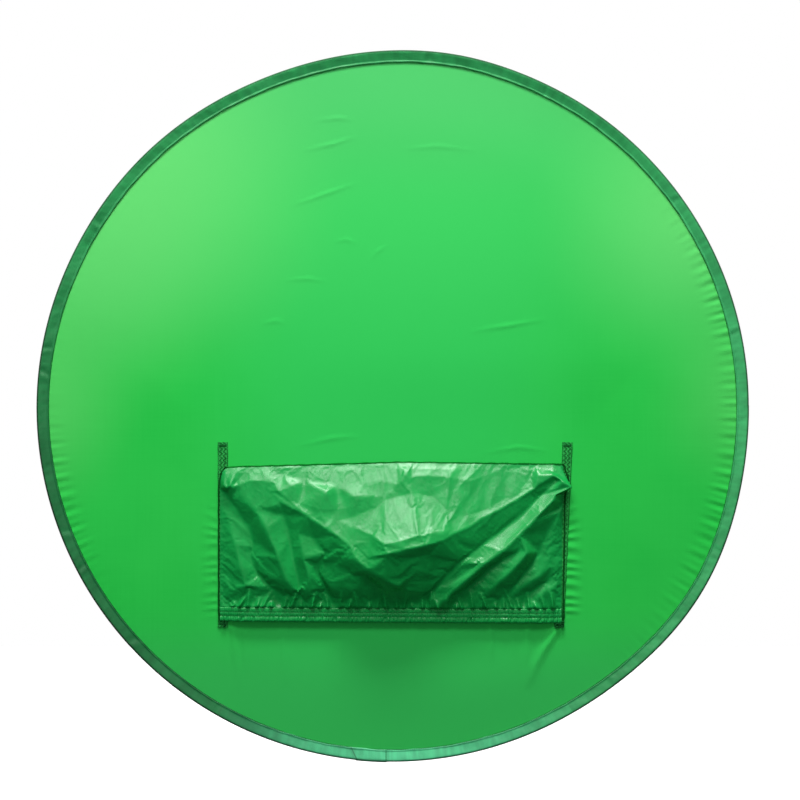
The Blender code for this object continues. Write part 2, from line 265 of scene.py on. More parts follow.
class Shader:
    """A Principled material and short names for the nodes that feed it."""

    def __init__(self, name):
        self.material = bpy.data.materials.new(name)
        self.material.use_nodes = True
        self.tree = self.material.node_tree
        self.main = self.tree.nodes["Principled BSDF"]
        self.uv = self.node("ShaderNodeUVMap", uv_map="cloth").outputs[0]

    def node(self, kind, **settings):
        made = self.tree.nodes.new(kind)
        for key, value in settings.items():
            setattr(made, key, value)
        return made

    def link(self, value, socket):
        if isinstance(value, bpy.types.NodeSocket):
            self.tree.links.new(value, socket)
        else:
            socket.default_value = value

    def set(self, **values):
        for key, value in values.items():
            self.link(value, self.main.inputs[key.replace("_", " ")])

    def scaled(self, x, y, shift=0.0, turn=0.0):
        made = self.node("ShaderNodeMapping")
        self.link(self.uv, made.inputs["Vector"])
        made.inputs["Scale"].default_value = (x, y, 1.0)
        made.inputs["Location"].default_value = (shift, shift, 0.0)
        made.inputs["Rotation"].default_value = (0.0, 0.0, turn)
        return made.outputs[0]

    def noise(self, vector, scale=1.0, detail=3.0, rough=0.5):
        made = self.node("ShaderNodeTexNoise")
        self.link(vector, made.inputs["Vector"])
        made.inputs["Scale"].default_value = scale
        made.inputs["Detail"].default_value = detail
        made.inputs["Roughness"].default_value = rough
        return made.outputs["Fac"]

    def waves(self, vector, direction):
        """Ribs one unit apart along X or Y."""
        made = self.node("ShaderNodeTexWave", bands_direction=direction)
        self.link(vector, made.inputs["Vector"])
        made.inputs["Scale"].default_value = 2 * math.pi / 20
        return made.outputs["Fac"]

    def math(self, operation, first, second=0.0):
        made = self.node("ShaderNodeMath", operation=operation)
        self.link(first, made.inputs[0])
        self.link(second, made.inputs[1])
        return made.outputs[0]

    def span(self, value, low, high, to_low=0.0, to_high=1.0):
        made = self.node("ShaderNodeMapRange", interpolation_type="SMOOTHSTEP")
        for socket, number in zip(made.inputs, (value, low, high, to_low, to_high)):
            self.link(number, socket)
        return made.outputs[0]

    def mix(self, share, first, second):
        made = self.node("ShaderNodeMix", data_type="RGBA")
        self.link(share, made.inputs["Factor"])
        self.link(first if not isinstance(first, tuple) else (*first, 1.0), made.inputs["A"])
        self.link(second if not isinstance(second, tuple) else (*second, 1.0), made.inputs["B"])
        return made.outputs["Result"]

    def ramp(self, value, stops):
        """Colours at places from 0 to 1, blended between."""
        made = self.node("ShaderNodeValToRGB")
        self.link(value, made.inputs[0])
        elements = made.color_ramp.elements
        while len(elements) < len(stops):
            elements.new(0.5)
        for element, (place, colour) in zip(elements, stops):
            element.position, element.color = place, (*colour, 1.0)
        return made.outputs[0]

    def shaded(self, colour, value):
        """A colour made lighter or darker by a factor."""
        made = self.node("ShaderNodeHueSaturation")
        self.link(colour, made.inputs["Color"])
        self.link(value, made.inputs["Value"])
        return made.outputs[0]

    def parts(self):
        made = self.node("ShaderNodeSeparateXYZ")
        self.link(self.uv, made.inputs[0])
        return made.outputs["X"], made.outputs["Y"]

    def distance_from(self, x, y):
        made = self.node("ShaderNodeVectorMath", operation="DISTANCE")
        self.link(self.uv, made.inputs[0])
        made.inputs[1].default_value = (x, y, 0.0)
        return made.outputs["Value"]

    def bump(self, height, distance, strength=1.0, under=None):
        made = self.node("ShaderNodeBump")
        self.link(height, made.inputs["Height"])
        made.inputs["Distance"].default_value = distance
        made.inputs["Strength"].default_value = strength
        if under is not None:
            self.link(under, made.inputs["Normal"])
        return made.outputs[0]


def plain_weave(shader, thread):
    """The height of a plain weave, warp over weft and back, from 0 to 1."""
    across = shader.waves(shader.scaled(1 / thread, 1 / thread), "X")
    along = shader.waves(shader.scaled(1 / thread, 1 / thread), "Y")
    return shader.math("MAXIMUM", across, along)


# Painted light on the panel: pale yellow-green glows at its shoulders and sides: (x, z, near, far, most)
SHOULDER_PAINTED_GLOWS = [
    (-0.50, 0.56, 0.02, 0.44, 0.60), (-0.66, 0.34, 0.00, 0.34, 0.32), (0.61, 0.50, 0.00, 0.36, 0.62),
    (0.72, 0.14, 0.02, 0.24, 0.34), (-0.72, 0.10, 0.02, 0.24, 0.34),
]


def screen_cloth():
    """Matte woven polyester with slubs along both threads, and painted light: bluer across the middle,
    greyer and darker below the pocket as painted shade, whiter and less green towards the top, and pale
    painted glows at the shoulders and sides.
    """
    made = Shader("screen_cloth")
    upright = made.noise(made.scaled(260.0, 5.0), 1.0, 2.0)
    level = made.noise(made.scaled(6.0, 240.0, 3.0), 1.0, 2.0)
    slubs = made.math("ADD", upright, level)
    blotch = made.noise(made.scaled(4.5, 4.5, 1.0), 1.0, 2.0)
    colour = made.mix(made.span(blotch, 0.3, 0.7), (0.015, 0.560, 0.062), (0.021, 0.590, 0.070))
    colour = made.mix(made.span(slubs, 0.7, 1.3, 0.0, 0.16), colour, (0.028, 0.640, 0.084))
    across, up = made.parts()
    # Painted light: bluer across the middle, so that the sides look yellower.
    middle = made.span(made.math("ABSOLUTE", across), 0.14, 0.46, 0.85, 0.0)
    colour = made.mix(middle, colour, (0.026, 0.590, 0.098))
    # Painted shadow of the pocket: greyer and darker towards the bottom, below it.
    colour = made.mix(made.span(up, -0.26, -0.46, 0.0, 0.85), colour, (0.032, 0.510, 0.096))
    # Painted light: whiter towards the top, and less green at the very top.
    colour = made.mix(made.span(up, 0.10, 0.50, 0.0, 0.75), colour, (0.042, 0.585, 0.108))
    colour = made.mix(made.span(up, 0.45, 0.80), colour, (0.060, 0.480, 0.116))
    # Painted light: paler and yellower round each shoulder glow.
    for x, z, near, far, most in SHOULDER_PAINTED_GLOWS:
        painted_glow = made.span(made.distance_from(x, z), near, far, most, 0.0)
        colour = made.mix(painted_glow, colour, (0.160, 0.710, 0.180))
    height = plain_weave(made, 0.0008)
    made.set(Base_Color=colour, Roughness=0.85, Specular_IOR_Level=0.22, Sheen_Weight=0.08)
    made.set(Sheen_Roughness=0.45, Sheen_Tint=(0.45, 1.0, 0.55, 1.0))
    made.set(Normal=made.bump(height, 0.00010, 0.5))
    return made.material


# The satin around the rim, with painted light: painted shade where it faces away from the light, and a
# painted highlight along the bottom
SATIN_PAINTED_SHADE = (0.006, 0.16, 0.04)
SATIN_PLAIN = (0.02, 0.30, 0.08)
SATIN_LIT = (0.04, 0.42, 0.13)
SATIN_PAINTED_HIGHLIGHT = (0.09, 0.65, 0.30)
RIM_PAINTED_TONES = [
    (0, SATIN_LIT), (60, SATIN_PLAIN), (150, SATIN_PLAIN), (185, SATIN_PAINTED_SHADE), (240, SATIN_PAINTED_SHADE),
    (270, SATIN_PAINTED_HIGHLIGHT), (305, SATIN_PLAIN), (360, SATIN_LIT),
]


def rim_satin(name="rim_satin", pressed=None):
    """Satin tape: fine twill, soft bands of wear, painted light that changes round the rim, and painted
    shade along its outer fold.

    pressed is (along, slant): painted shade along a crease across the tape, for its turned-in end.
    """
    made = Shader(name)
    along, across = made.parts()
    turn = made.math("FRACT", made.math("DIVIDE", along, 2 * math.pi * RIM_RADIUS))
    # Painted light and shade: the satin's tone is set by where it lies round the rim.
    colour = made.ramp(turn, [(angle / 360.0, tone) for angle, tone in RIM_PAINTED_TONES])
    bands = made.noise(made.scaled(70.0, 9.0), 1.0, 3.0)
    cloudy = made.noise(made.scaled(9.0, 14.0, 2.0), 1.0, 3.0)
    share = made.math("ADD", made.math("MULTIPLY", bands, 0.5), made.math("MULTIPLY", cloudy, 0.5))
    colour = made.shaded(colour, made.span(share, 0.35, 0.65, 0.80, 1.18))
    fold = made.math("ABSOLUTE", made.math("SUBTRACT", across, binding_length() / 2))
    # Painted shade along the outer fold, where the tape turns over the hoop.
    colour = made.shaded(colour, made.span(fold, 0.0066, 0.0098, 0.28, 1.0))
    # Painted shade of the crease across the tape's turned-in end.
    if pressed:
        inset = made.math("SUBTRACT", fold, 0.0064)
        lean = made.math("MULTIPLY", inset, pressed[1] / BINDING_WIDTH)
        away = made.math("ABSOLUTE", made.math("SUBTRACT", along, made.math("ADD", lean, pressed[0])))
        colour = made.shaded(colour, made.span(away, 0.0006, 0.0019, 0.42, 1.0))
    twill = made.waves(made.scaled(1500.0, 1500.0, 0.0, 0.8), "X")
    shine = made.span(cloudy, 0.3, 0.7, 0.38, 0.52)
    rough = made.math("MAXIMUM", shine, made.span(fold, 0.0074, 0.0116, 0.90, 0.0))
    made.set(Base_Color=colour, Roughness=rough)
    made.set(Specular_IOR_Level=0.55, Sheen_Weight=0.08, Sheen_Roughness=0.35)
    made.set(Sheen_Tint=(0.5, 1.0, 0.65, 1.0))
    made.set(Normal=made.bump(twill, 0.00008, 0.5))
    return made.material


def pocket_taffeta():
    """Thin shiny taffeta with hair-fine crinkles and a close plain weave."""
    made = Shader("pocket_taffeta")
    crinkle = made.noise(made.scaled(38.0, 30.0), 1.0, 4.0, 0.55)
    fine = made.noise(made.scaled(160.0, 130.0, 5.0), 1.0, 3.0)
    colour = made.mix(made.span(crinkle, 0.3, 0.7), (0.004, 0.300, 0.054), (0.006, 0.350, 0.066))
    made.set(Base_Color=colour, Roughness=made.span(fine, 0.3, 0.7, 0.28, 0.38))
    made.set(Specular_IOR_Level=0.45)
    soft = made.bump(fine, 0.0002, 0.5)
    made.set(Normal=made.bump(plain_weave(made, 0.0005), 0.00005, 0.4, soft))
    return made.material


def webbing(name, dark, light):
    """Ribbed narrow weave."""
    made = Shader(name)
    ribs = made.waves(made.scaled(900.0, 900.0), "Y")
    cords = made.waves(made.scaled(420.0, 420.0), "X")
    height = made.math("MULTIPLY", ribs, cords)
    worn = made.noise(made.scaled(500.0, 300.0), 1.0, 3.0)
    colour = made.mix(made.span(made.math("ADD", height, worn), 0.5, 1.2), dark, light)
    made.set(Base_Color=colour, Roughness=0.90, Specular_IOR_Level=0.10)
    made.set(Normal=made.bump(height, 0.00025, 0.8))
    return made.material


def thread(name, dark, light):
    """Twisted polyester sewing thread."""
    made = Shader(name)
    coordinates = made.node("ShaderNodeTexCoord").outputs["Object"]
    twist = made.noise(coordinates, 2600.0, 2.0)
    colour = made.mix(made.span(twist, 0.35, 0.65), dark, light)
    made.set(Base_Color=colour, Roughness=0.7, Specular_IOR_Level=0.15)
    made.set(Normal=made.bump(twist, 0.0001, 0.5))
    return made.material


def spring_steel():
    """Blued flat spring steel with fine lengthwise rolling marks."""
    made = Shader("spring_steel")
    coordinates = made.node("ShaderNodeTexCoord").outputs["Object"]
    marks = made.noise(coordinates, 900.0, 4.0)
    stains = made.noise(coordinates, 25.0, 3.0)
    colour = made.mix(made.span(stains, 0.3, 0.7), (0.40, 0.41, 0.44), (0.52, 0.53, 0.55))
    made.set(Base_Color=colour, Metallic=1.0, Roughness=made.span(marks, 0.3, 0.7, 0.28, 0.42))
    made.set(Normal=made.bump(marks, 0.00003, 0.4))
    return made.material


# ---------------------------------------------------------------- the rim's shape


def rim_radius(angle):
    """The hoop's outside, slightly flat at the upper left and full at the lower right."""
    degrees = np.degrees(angle) % 360.0
    radius = RIM_RADIUS - 0.0085 * bump_at(degrees, 113.0, 21.0)
    radius = radius - 0.0052 * bump_at(degrees, 148.0, 22.0) + 0.0016 * bump_at(degrees, 80.0, 9.0)
    return radius + 0.0105 * bump_at(degrees, 329.0, 17.0)


def hub_polar(x, z):
    return np.hypot(x, z - HUB_Z), np.arctan2(z - HUB_Z, x)


def side_spans():
    """The rim's four stretches as (first, last) angles, split where the sides' bend begins."""
    reach = math.acos(SPLIT_X / RIM_RADIUS)
    return {
        "right": (-reach, reach),
        "top": (reach, math.pi - reach),
        "left": (math.pi - reach, math.pi + reach),
        "bottom": (math.pi + reach, 2 * math.pi - reach),
    }


def ride_rim(piece, side):
    """Bakes a side piece's place into its mesh, and puts any other piece of the rim or panel on the
    screen's body.
    """
    if side in ("left", "right"):
        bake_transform(piece)
    else:
        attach(piece, "screen")


# ---------------------------------------------------------------- the panel

# Faint creases in the panel: paths of (x, z, height, width)
PANEL_CREASES = [
    [(-0.160, 0.684, 0.0000, 0.006), (-0.110, 0.690, 0.0007, 0.006), (-0.075, 0.686, 0.0, 0.006)],
    [(-0.184, 0.624, 0.0, 0.006), (-0.120, 0.638, 0.0008, 0.006), (-0.068, 0.654, 0.0, 0.006)],
    [(-0.210, 0.512, 0.0, 0.006), (-0.130, 0.540, 0.0008, 0.007), (-0.068, 0.562, 0.0, 0.006)],
    [(-0.220, 0.366, 0.0, 0.006), (-0.170, 0.370, 0.0006, 0.006), (-0.128, 0.364, 0.0, 0.006)],
    [(-0.118, 0.442, 0.0, 0.005), (-0.090, 0.448, 0.0006, 0.006), (-0.070, 0.438, 0.0, 0.005)],
    [(-0.046, 0.404, 0.0, 0.005), (-0.030, 0.424, 0.0006, 0.005), (-0.006, 0.438, 0.0, 0.005)],
    [(-0.264, 0.278, 0.0, 0.006), (-0.235, 0.286, 0.0006, 0.006), (-0.208, 0.280, 0.0, 0.006)],
    [(0.016, 0.628, 0.0, 0.006), (0.090, 0.634, 0.0006, 0.007), (0.172, 0.624, 0.0, 0.006)],
    [(0.150, 0.264, 0.0, 0.007), (0.230, 0.276, 0.0009, 0.007), (0.312, 0.290, 0.0, 0.007)],
    [(-0.190, 0.036, 0.0, 0.007), (-0.120, 0.052, 0.0008, 0.008), (-0.060, 0.056, 0.0, 0.007)],
    [(0.180, 0.022, 0.0, 0.007), (0.250, 0.034, 0.0008, 0.007), (0.318, 0.026, 0.0, 0.007)],
]

# Tension folds in the panel under the hem
UNDER_HEM_FOLDS = [
    [(0.196, -0.318, 0.0020, 0.005), (0.197, -0.372, 0.0012, 0.005), (0.197, -0.400, 0.0, 0.006)],
    [(0.330, -0.328, 0.0030, 0.011), (0.303, -0.368, 0.0034, 0.013), (0.285, -0.402, 0.0022, 0.016),
     (0.268, -0.450, 0.0, 0.020)],
    [(0.268, -0.322, 0.0018, 0.009), (0.268, -0.390, 0.0012, 0.010), (0.270, -0.440, 0.0, 0.012)],
    [(0.241, -0.322, 0.0012, 0.008), (0.243, -0.390, 0.0, 0.010)],
    [(-0.318, -0.326, 0.0016, 0.008), (-0.312, -0.400, 0.0008, 0.009), (-0.308, -0.460, 0.0, 0.012)],
    [(-0.296, -0.322, 0.0012, 0.008), (-0.290, -0.420, 0.0, 0.010)],
    [(-0.220, -0.322, 0.0010, 0.009), (-0.214, -0.430, 0.0003, 0.012)],
    [(-0.100, -0.322, 0.0009, 0.010), (-0.104, -0.440, 0.0003, 0.014)],
    [(0.040, -0.322, 0.0009, 0.010), (0.046, -0.430, 0.0003, 0.014)],
    [(0.120, -0.322, 0.0009, 0.009), (0.124, -0.410, 0.0, 0.012)],
]


def side_puckers(x, z):
    """Short level puckers where the tapes are sewn through the panel."""
    total = np.zeros(x.shape)
    for sign, edge, height in ((-1.0, -0.349, 0.0010), (1.0, 0.345, 0.0021)):
        out = sign * (x - edge)
        reach = smooth(out, -0.003, 0.002) * (1.0 - smooth(out, 0.004, 0.040))
        fanned = z + out * (0.12 - 0.35 * smooth(z, -0.175, -0.125))
        wander = 0.0030 * np.sin(z * 90.0)
        wave = 0.5 + 0.5 * np.cos(2.0 * math.pi * (fanned + wander) / 0.0182 + sign)
        strength = smooth(z, -0.315, -0.290) * (1.0 - smooth(z, -0.150, -0.050))
        total += height * reach * strength * wave ** 1.3
    return total


def rim_puckers(radius, angle):
    """Small radial puckers where the panel is gathered into the binding."""
    inside = RIM_RADIUS - BINDING_WIDTH - radius
    reach = (1.0 - smooth(inside, 0.0, 0.045)) * smooth(inside, -0.03, 0.0)
    strength = 0.10 + bump_at(np.degrees(angle), -14.0, 20.0) + bump_at(np.degrees(angle), 18.0, 10.0)
    strength = strength + bump_at(np.degrees(angle) % 360.0, 196.0, 10.0)
    ripples = np.sin(angle * 190.0 + 2.0 * np.sin(angle * 23.0)) * np.sin(angle * 61.0 + 1.0)
    return 0.0011 * reach * strength * ripples


def panel_depth(x, z):
    """How far the panel's cloth stands towards -Y from the sheet's plane."""
    radius, angle = hub_polar(x, z)
    held = smooth(RIM_RADIUS - BINDING_WIDTH - radius, 0.0, 0.16)
    aside = np.maximum(np.abs(x) - 0.365, np.abs(z + 0.140) - 0.200)
    bow = 0.0025 * held * smooth(aside, 0.0, 0.16) * np.sin(3.1 * x + 0.8)
    fold = folds(x, z, UNDER_HEM_FOLDS, 0.004)
    behind = smooth(0.340 - np.abs(x), 0.0, 0.012) * smooth(z, -0.338, -0.306)
    creases = folds(x, z, PANEL_CREASES, 0.0015) + side_puckers(x, z) + rim_puckers(radius, angle)
    return bow + fold * (1.0 - behind) + creases


def chord(x):
    """Half the panel's height at x, to where it is tucked into the binding."""
    return np.sqrt(np.maximum((RIM_RADIUS - PANEL_TUCK) ** 2 - x * x, 0.0))


def tucked(x, z):
    """Moves points in the round disc out or in, to the rim's real outline."""
    radius, angle = hub_polar(x, z)
    share = rim_radius(angle) / RIM_RADIUS
    share = 1.0 + (share - 1.0) * smooth(radius, 0.2, 0.66)
    return x * share, HUB_Z + (z - HUB_Z) * share


def panel_piece(name, x, z, material):
    x, z = tucked(x, z)
    return sheet_object(name, x, panel_depth(x, z) - SHEET_Y, z, x, z, material)


def make_panel(material):
    columns = np.linspace(-SPLIT_X, SPLIT_X, int(2 * SPLIT_X / GRAIN))
    rows = np.linspace(-1.0, 1.0, int(2 * RIM_RADIUS / GRAIN))
    share, x = np.meshgrid(rows, columns, indexing="ij")
    middle = panel_piece("panel_middle", x, HUB_Z + share * chord(x), material)
    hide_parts("screen_panel_middle")
    pieces = {"middle": middle}
    tall = float(chord(SPLIT_X))
    rows = np.linspace(-1.0, 1.0, int(2 * tall / GRAIN))
    across = np.linspace(0.0, 1.0, int((RIM_RADIUS - SPLIT_X) / GRAIN))
    share, along = np.meshgrid(rows, across, indexing="ij")
    height = share * tall
    outer = np.sqrt(np.maximum((RIM_RADIUS - PANEL_TUCK) ** 2 - height**2, SPLIT_X**2))
    for side, sign in (("left", -1.0), ("right", 1.0)):
        x = sign * (SPLIT_X + along * (outer - SPLIT_X))
        piece = panel_piece("panel_" + side, x, HUB_Z + height, material)
        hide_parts("screen_panel_" + side)
        pieces[side] = piece
    for side, piece in pieces.items():
        ride_rim(piece, side)
    return pieces


# ---------------------------------------------------------------- the binding

# Creases across the binding: (angle in degrees, height, width in degrees, slant)
RIM_CREASES = [
    (148.0, 0.0016, 0.55, 0.6), (170.5, 0.0014, 0.50, -0.5), (174.5, 0.0018, 0.60, 0.8),
    (201.0, 0.0014, 0.55, 0.4), (207.5, 0.0018, 0.50, -0.8), (222.0, 0.0016, 0.70, 0.6),
    (84.0, 0.0012, 0.60, 0.5), (64.0, 0.0014, 0.45, -0.6), (36.0, 0.0010, 0.50, 0.5),
    (12.0, 0.0010, 0.45, -0.4), (-24.0, 0.0012, 0.60, 0.7), (-52.0, 0.0012, 0.55, -0.5),
    (118.0, 0.0012, 0.50, 0.6), (240.0, 0.0012, 0.50, -0.6), (255.0, 0.0010, 0.60, 0.5),
]


def binding_section(grow):
    """The tape's section as (inset from the rim, depth) points, rear lip to front lip."""
    half = BINDING_HALF_DEPTH - 0.0002
    rear = [
        (BINDING_WIDTH, 0.0007), (BINDING_WIDTH - 0.0002, 0.0015), (BINDING_WIDTH - 0.0010, 0.0021),
        (0.0220, 0.0023), (0.0209, 0.0019), (0.0198, 0.0018), (0.0180, 0.0023), (0.0150, 0.0031),
        (0.0120, 0.0040), (0.0090, 0.0048),
        (0.0065, 0.0056), (0.0045, half), (0.0028, half + 0.0001), (0.0014, half - 0.0005),
        (0.0004, half - 0.0017), (0.0, half - 0.0032), (0.0, 0.0014),
    ]
    rear = [(inset - grow if inset < 0.004 else inset, depth + grow) for inset, depth in rear]
    return np.array(rear + [(inset, -depth) for inset, depth in reversed(rear)])


def binding_length(grow=0.0):
    """How far it is around the tape's section, from lip to lip."""
    return float(np.hypot(*np.diff(binding_section(grow), axis=0).T).sum())


def binding_grid(angle, grow=0.0, lip=0.0):
    """Points of the binding's skin over rows of angles, with its creases and wrinkles."""
    section = binding_section(grow)
    inset, depth = section[:, 0], section[:, 1]
    radius = rim_radius(angle) - np.where(inset > 0.004, inset + lip, inset)
    facing = np.sign(depth)
    middle = np.clip(np.minimum(inset / 0.006, (BINDING_WIDTH - inset) / 0.006), 0.0, 1.0)
    degrees = np.degrees(angle)
    lifted = np.zeros(angle.shape)
    for place, height, width, slant in RIM_CREASES:
        away = (degrees - place - slant * (inset / BINDING_WIDTH - 0.5) + 180.0) % 360.0 - 180.0
        lifted -= 0.6 * height * np.exp(-((away / width) ** 2)) * middle
        lifted += 0.45 * height * np.exp(-(((away - 1.4 * width) / width) ** 2)) * middle
    along = angle * RIM_RADIUS
    soft = np.sin(along / 0.0125 + 1.6 * np.sin(along / 0.041) + inset * 160.0 * facing)
    fine = np.sin(along / 0.0034 + 2.0 * np.sin(along / 0.017) + inset * 240.0)
    lifted += middle * (0.00026 * soft + 0.00010 * fine)
    edge = smooth(inset, BINDING_WIDTH - 0.004, BINDING_WIDTH)
    radius += edge * (0.0005 * np.sin(along / 0.021) + 0.0004 * np.sin(along / 0.0081 + 1.0))
    depth = depth + facing * lifted
    x = radius * np.cos(angle)
    z = HUB_Z + radius * np.sin(angle)
    length = np.concatenate([[0.0], np.cumsum(np.hypot(np.diff(inset), np.diff(section[:, 1])))])
    return x, depth - SHEET_Y, z, along, np.broadcast_to(length, angle.shape)


def make_binding(material):
    for side, (first, last) in side_spans().items():
        count = int((last - first) * RIM_RADIUS / 0.0022)
        angles = np.repeat(np.linspace(first, last, count)[:, None], len(binding_section(0.0)), axis=1)
        x, depth, z, along, length = binding_grid(angles)
        piece = sheet_object("binding_" + side, x, depth, z, along, length, material)
        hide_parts("rim_binding_" + side)
        ride_rim(piece, side)


def make_join(material, sewing):
    """The second layer of tape over the butt at the bottom: slanting at one end, square at the other."""
    grow = 0.0009
    inset = binding_section(grow)[:, 0]
    start = LAP_START + LAP_SLANT * inset / BINDING_WIDTH
    share = np.linspace(0.0, 1.0, 56)[:, None]
    places = start[None, :] + share * (LAP_END - start[None, :])
    angles = 1.5 * math.pi + places / RIM_RADIUS
    x, depth, z, along, length = binding_grid(angles, grow, 0.0004)
    piece = sheet_object("binding_lap", x, depth, z, along, length, material)
    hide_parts("binding_join")
    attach(piece, "screen")
    rows = []
    for facing in (1, -1):
        side = slice(1, 13) if facing > 0 else slice(-13, -1)
        path = np.stack([x[-2, side], -depth[-2, side], z[-2, side]], axis=1)
        rows.append(stitches(path, 0.0036, 0.0034, 0.00090, (0.0, -facing, 0.0)))
    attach(sewn_piece("lap_stitches", joined(rows), sewing), "screen")


def make_rim_stitches(material):
    """Two rows of lockstitch, one on each face, just inside the binding's lip."""
    for side, (first, last) in side_spans().items():
        count = int((last - first) * RIM_RADIUS / 0.002)
        angles = np.linspace(first, last, count)
        radius = rim_radius(angles) - BINDING_WIDTH - 0.0003
        rows = []
        for facing in (1.0, -1.0):
            y = SHEET_Y - facing * 0.0014
            path = np.stack(
                [radius * np.cos(angles), np.full(count, y), HUB_Z + radius * np.sin(angles)], axis=1
            )
            rows.append(stitches(path, 0.0036, 0.0033, 0.00070, (0.0, -facing, 0.0)))
        ride_rim(sewn_piece("binding_stitches_" + side, joined(rows), material), side)


def make_hoop(material):
    """The flat steel band, following the rim's real outline inside the binding."""
    nodes = {
        "top": ["hoop_band_top"], "left": ["hoop_band_left"], "right": ["hoop_band_right"],
        "bottom": ["hoop_band_bottom_left", "hoop_band_bottom_right"],
    }
    for side, (first, last) in side_spans().items():
        angles = np.linspace(first, last, int((last - first) * RIM_RADIUS / 0.006))
        corners = np.array([
            (BAND_NEAR, BAND_HALF_WIDTH), (BAND_NEAR, -BAND_HALF_WIDTH),
            (BAND_FAR, -BAND_HALF_WIDTH), (BAND_FAR, BAND_HALF_WIDTH),
        ])
        radius = rim_radius(angles)[:, None] - corners[:, 0][None, :]
        x, z = radius * np.cos(angles)[:, None], HUB_Z + radius * np.sin(angles)[:, None]
        points = np.stack([x, SHEET_Y - np.broadcast_to(corners[:, 1], x.shape), z], axis=-1)
        faces = grid_faces(*x.shape, closed_columns=True)
        piece = mesh_object("hoop_" + side, points.reshape(-1, 3), faces, None, material)
        piece.data.shade_flat()
        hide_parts(*nodes[side])
        ride_rim(piece, side)


# ---------------------------------------------------------------- the pocket

# Ridges and valleys of the pocket's cloth, as lines of (x, z, depth) points

# Creases of the lit face above the big sagging fold
UPPER_FACE = [
    [(-0.258, -0.013, 0.007), (-0.219, -0.024, 0.010), (-0.174, -0.033, 0.016), (-0.112, -0.041, 0.0235),
     (-0.062, -0.039, 0.0235), (-0.029, -0.030, 0.021), (0.010, -0.037, 0.027), (0.036, -0.024, 0.022),
     (0.070, -0.020, 0.020), (0.114, -0.024, 0.022), (0.156, -0.032, 0.021), (0.187, -0.021, 0.012),
     (0.210, -0.013, 0.009), (0.249, -0.010, 0.006)],
    [(-0.087, -0.103, 0.041), (-0.032, -0.083, 0.037), (-0.023, -0.061, 0.032), (-0.001, -0.054, 0.031),
     (0.014, -0.050, 0.030), (0.039, -0.054, 0.030), (0.078, -0.062, 0.031), (0.106, -0.087, 0.040),
     (0.140, -0.101, 0.041)],
    [(-0.013, -0.068, 0.034), (-0.014, -0.111, 0.054), (-0.016, -0.153, 0.076)],
    [(-0.131, -0.051, 0.037), (-0.109, -0.090, 0.039)],
    [(-0.235, -0.032, 0.019), (-0.224, -0.051, 0.027)],
    [(-0.148, -0.094, 0.040), (-0.131, -0.056, 0.038)],
    [(-0.196, -0.037, 0.024), (-0.185, -0.076, 0.031)],
    [(-0.070, -0.062, 0.037), (-0.090, -0.087, 0.038)],
    [(0.028, -0.015, 0.019), (0.042, -0.054, 0.030)],
    [(0.106, -0.087, 0.040), (0.122, -0.133, 0.058)],
    [(0.140, -0.101, 0.041), (0.153, -0.065, 0.029), (0.156, -0.032, 0.018)],
    [(0.246, -0.013, 0.009), (0.247, -0.062, 0.027)],
    [(0.205, -0.001, 0.003), (0.229, -0.024, 0.012), (0.222, -0.066, 0.026)],
    [(0.274, -0.024, 0.013), (0.290, -0.020, 0.020), (0.311, -0.020, 0.020), (0.306, -0.010, 0.008)],
    [(0.311, -0.020, 0.020), (0.321, -0.033, 0.022), (0.332, -0.042, 0.019)],
    [(0.316, -0.013, 0.010), (0.328, -0.028, 0.012)],
    [(-0.333, -0.013, 0.006), (-0.334, -0.028, 0.012), (-0.334, -0.043, 0.016)],
    [(-0.328, -0.013, 0.004), (-0.328, -0.041, 0.011)],
    [(-0.309, -0.014, 0.008), (-0.323, -0.041, 0.019)],
    [(-0.300, -0.022, 0.009), (-0.312, -0.038, 0.012)],
]

# The big fold: its upper edge, and the line under which the cloth turns away
SAGGING_FOLD = [
    [(-0.330, -0.047, 0.015), (-0.319, -0.044, 0.018), (-0.305, -0.040, 0.016), (-0.276, -0.031, 0.016),
     (-0.241, -0.051, 0.023), (-0.201, -0.073, 0.031), (-0.167, -0.098, 0.040), (-0.148, -0.094, 0.041),
     (-0.109, -0.109, 0.044), (-0.076, -0.121, 0.050), (-0.042, -0.135, 0.060), (-0.016, -0.153, 0.076),
     (0.014, -0.148, 0.077), (0.050, -0.136, 0.074), (0.077, -0.133, 0.070), (0.122, -0.133, 0.058)],
    [(-0.224, -0.071, 0.028), (-0.167, -0.101, 0.040), (-0.111, -0.137, 0.053), (-0.081, -0.157, 0.058),
     (-0.048, -0.179, 0.064), (-0.012, -0.179, 0.075), (-0.013, -0.172, 0.079), (0.028, -0.163, 0.079),
     (0.069, -0.155, 0.076), (0.097, -0.147, 0.067), (0.124, -0.135, 0.056), (0.152, -0.121, 0.049),
     (0.180, -0.102, 0.042), (0.213, -0.087, 0.036), (0.247, -0.067, 0.030), (0.281, -0.047, 0.025),
     (0.311, -0.022, 0.020)],
    [(0.140, -0.101, 0.041), (0.180, -0.089, 0.034), (0.222, -0.066, 0.026), (0.247, -0.062, 0.027)],
]

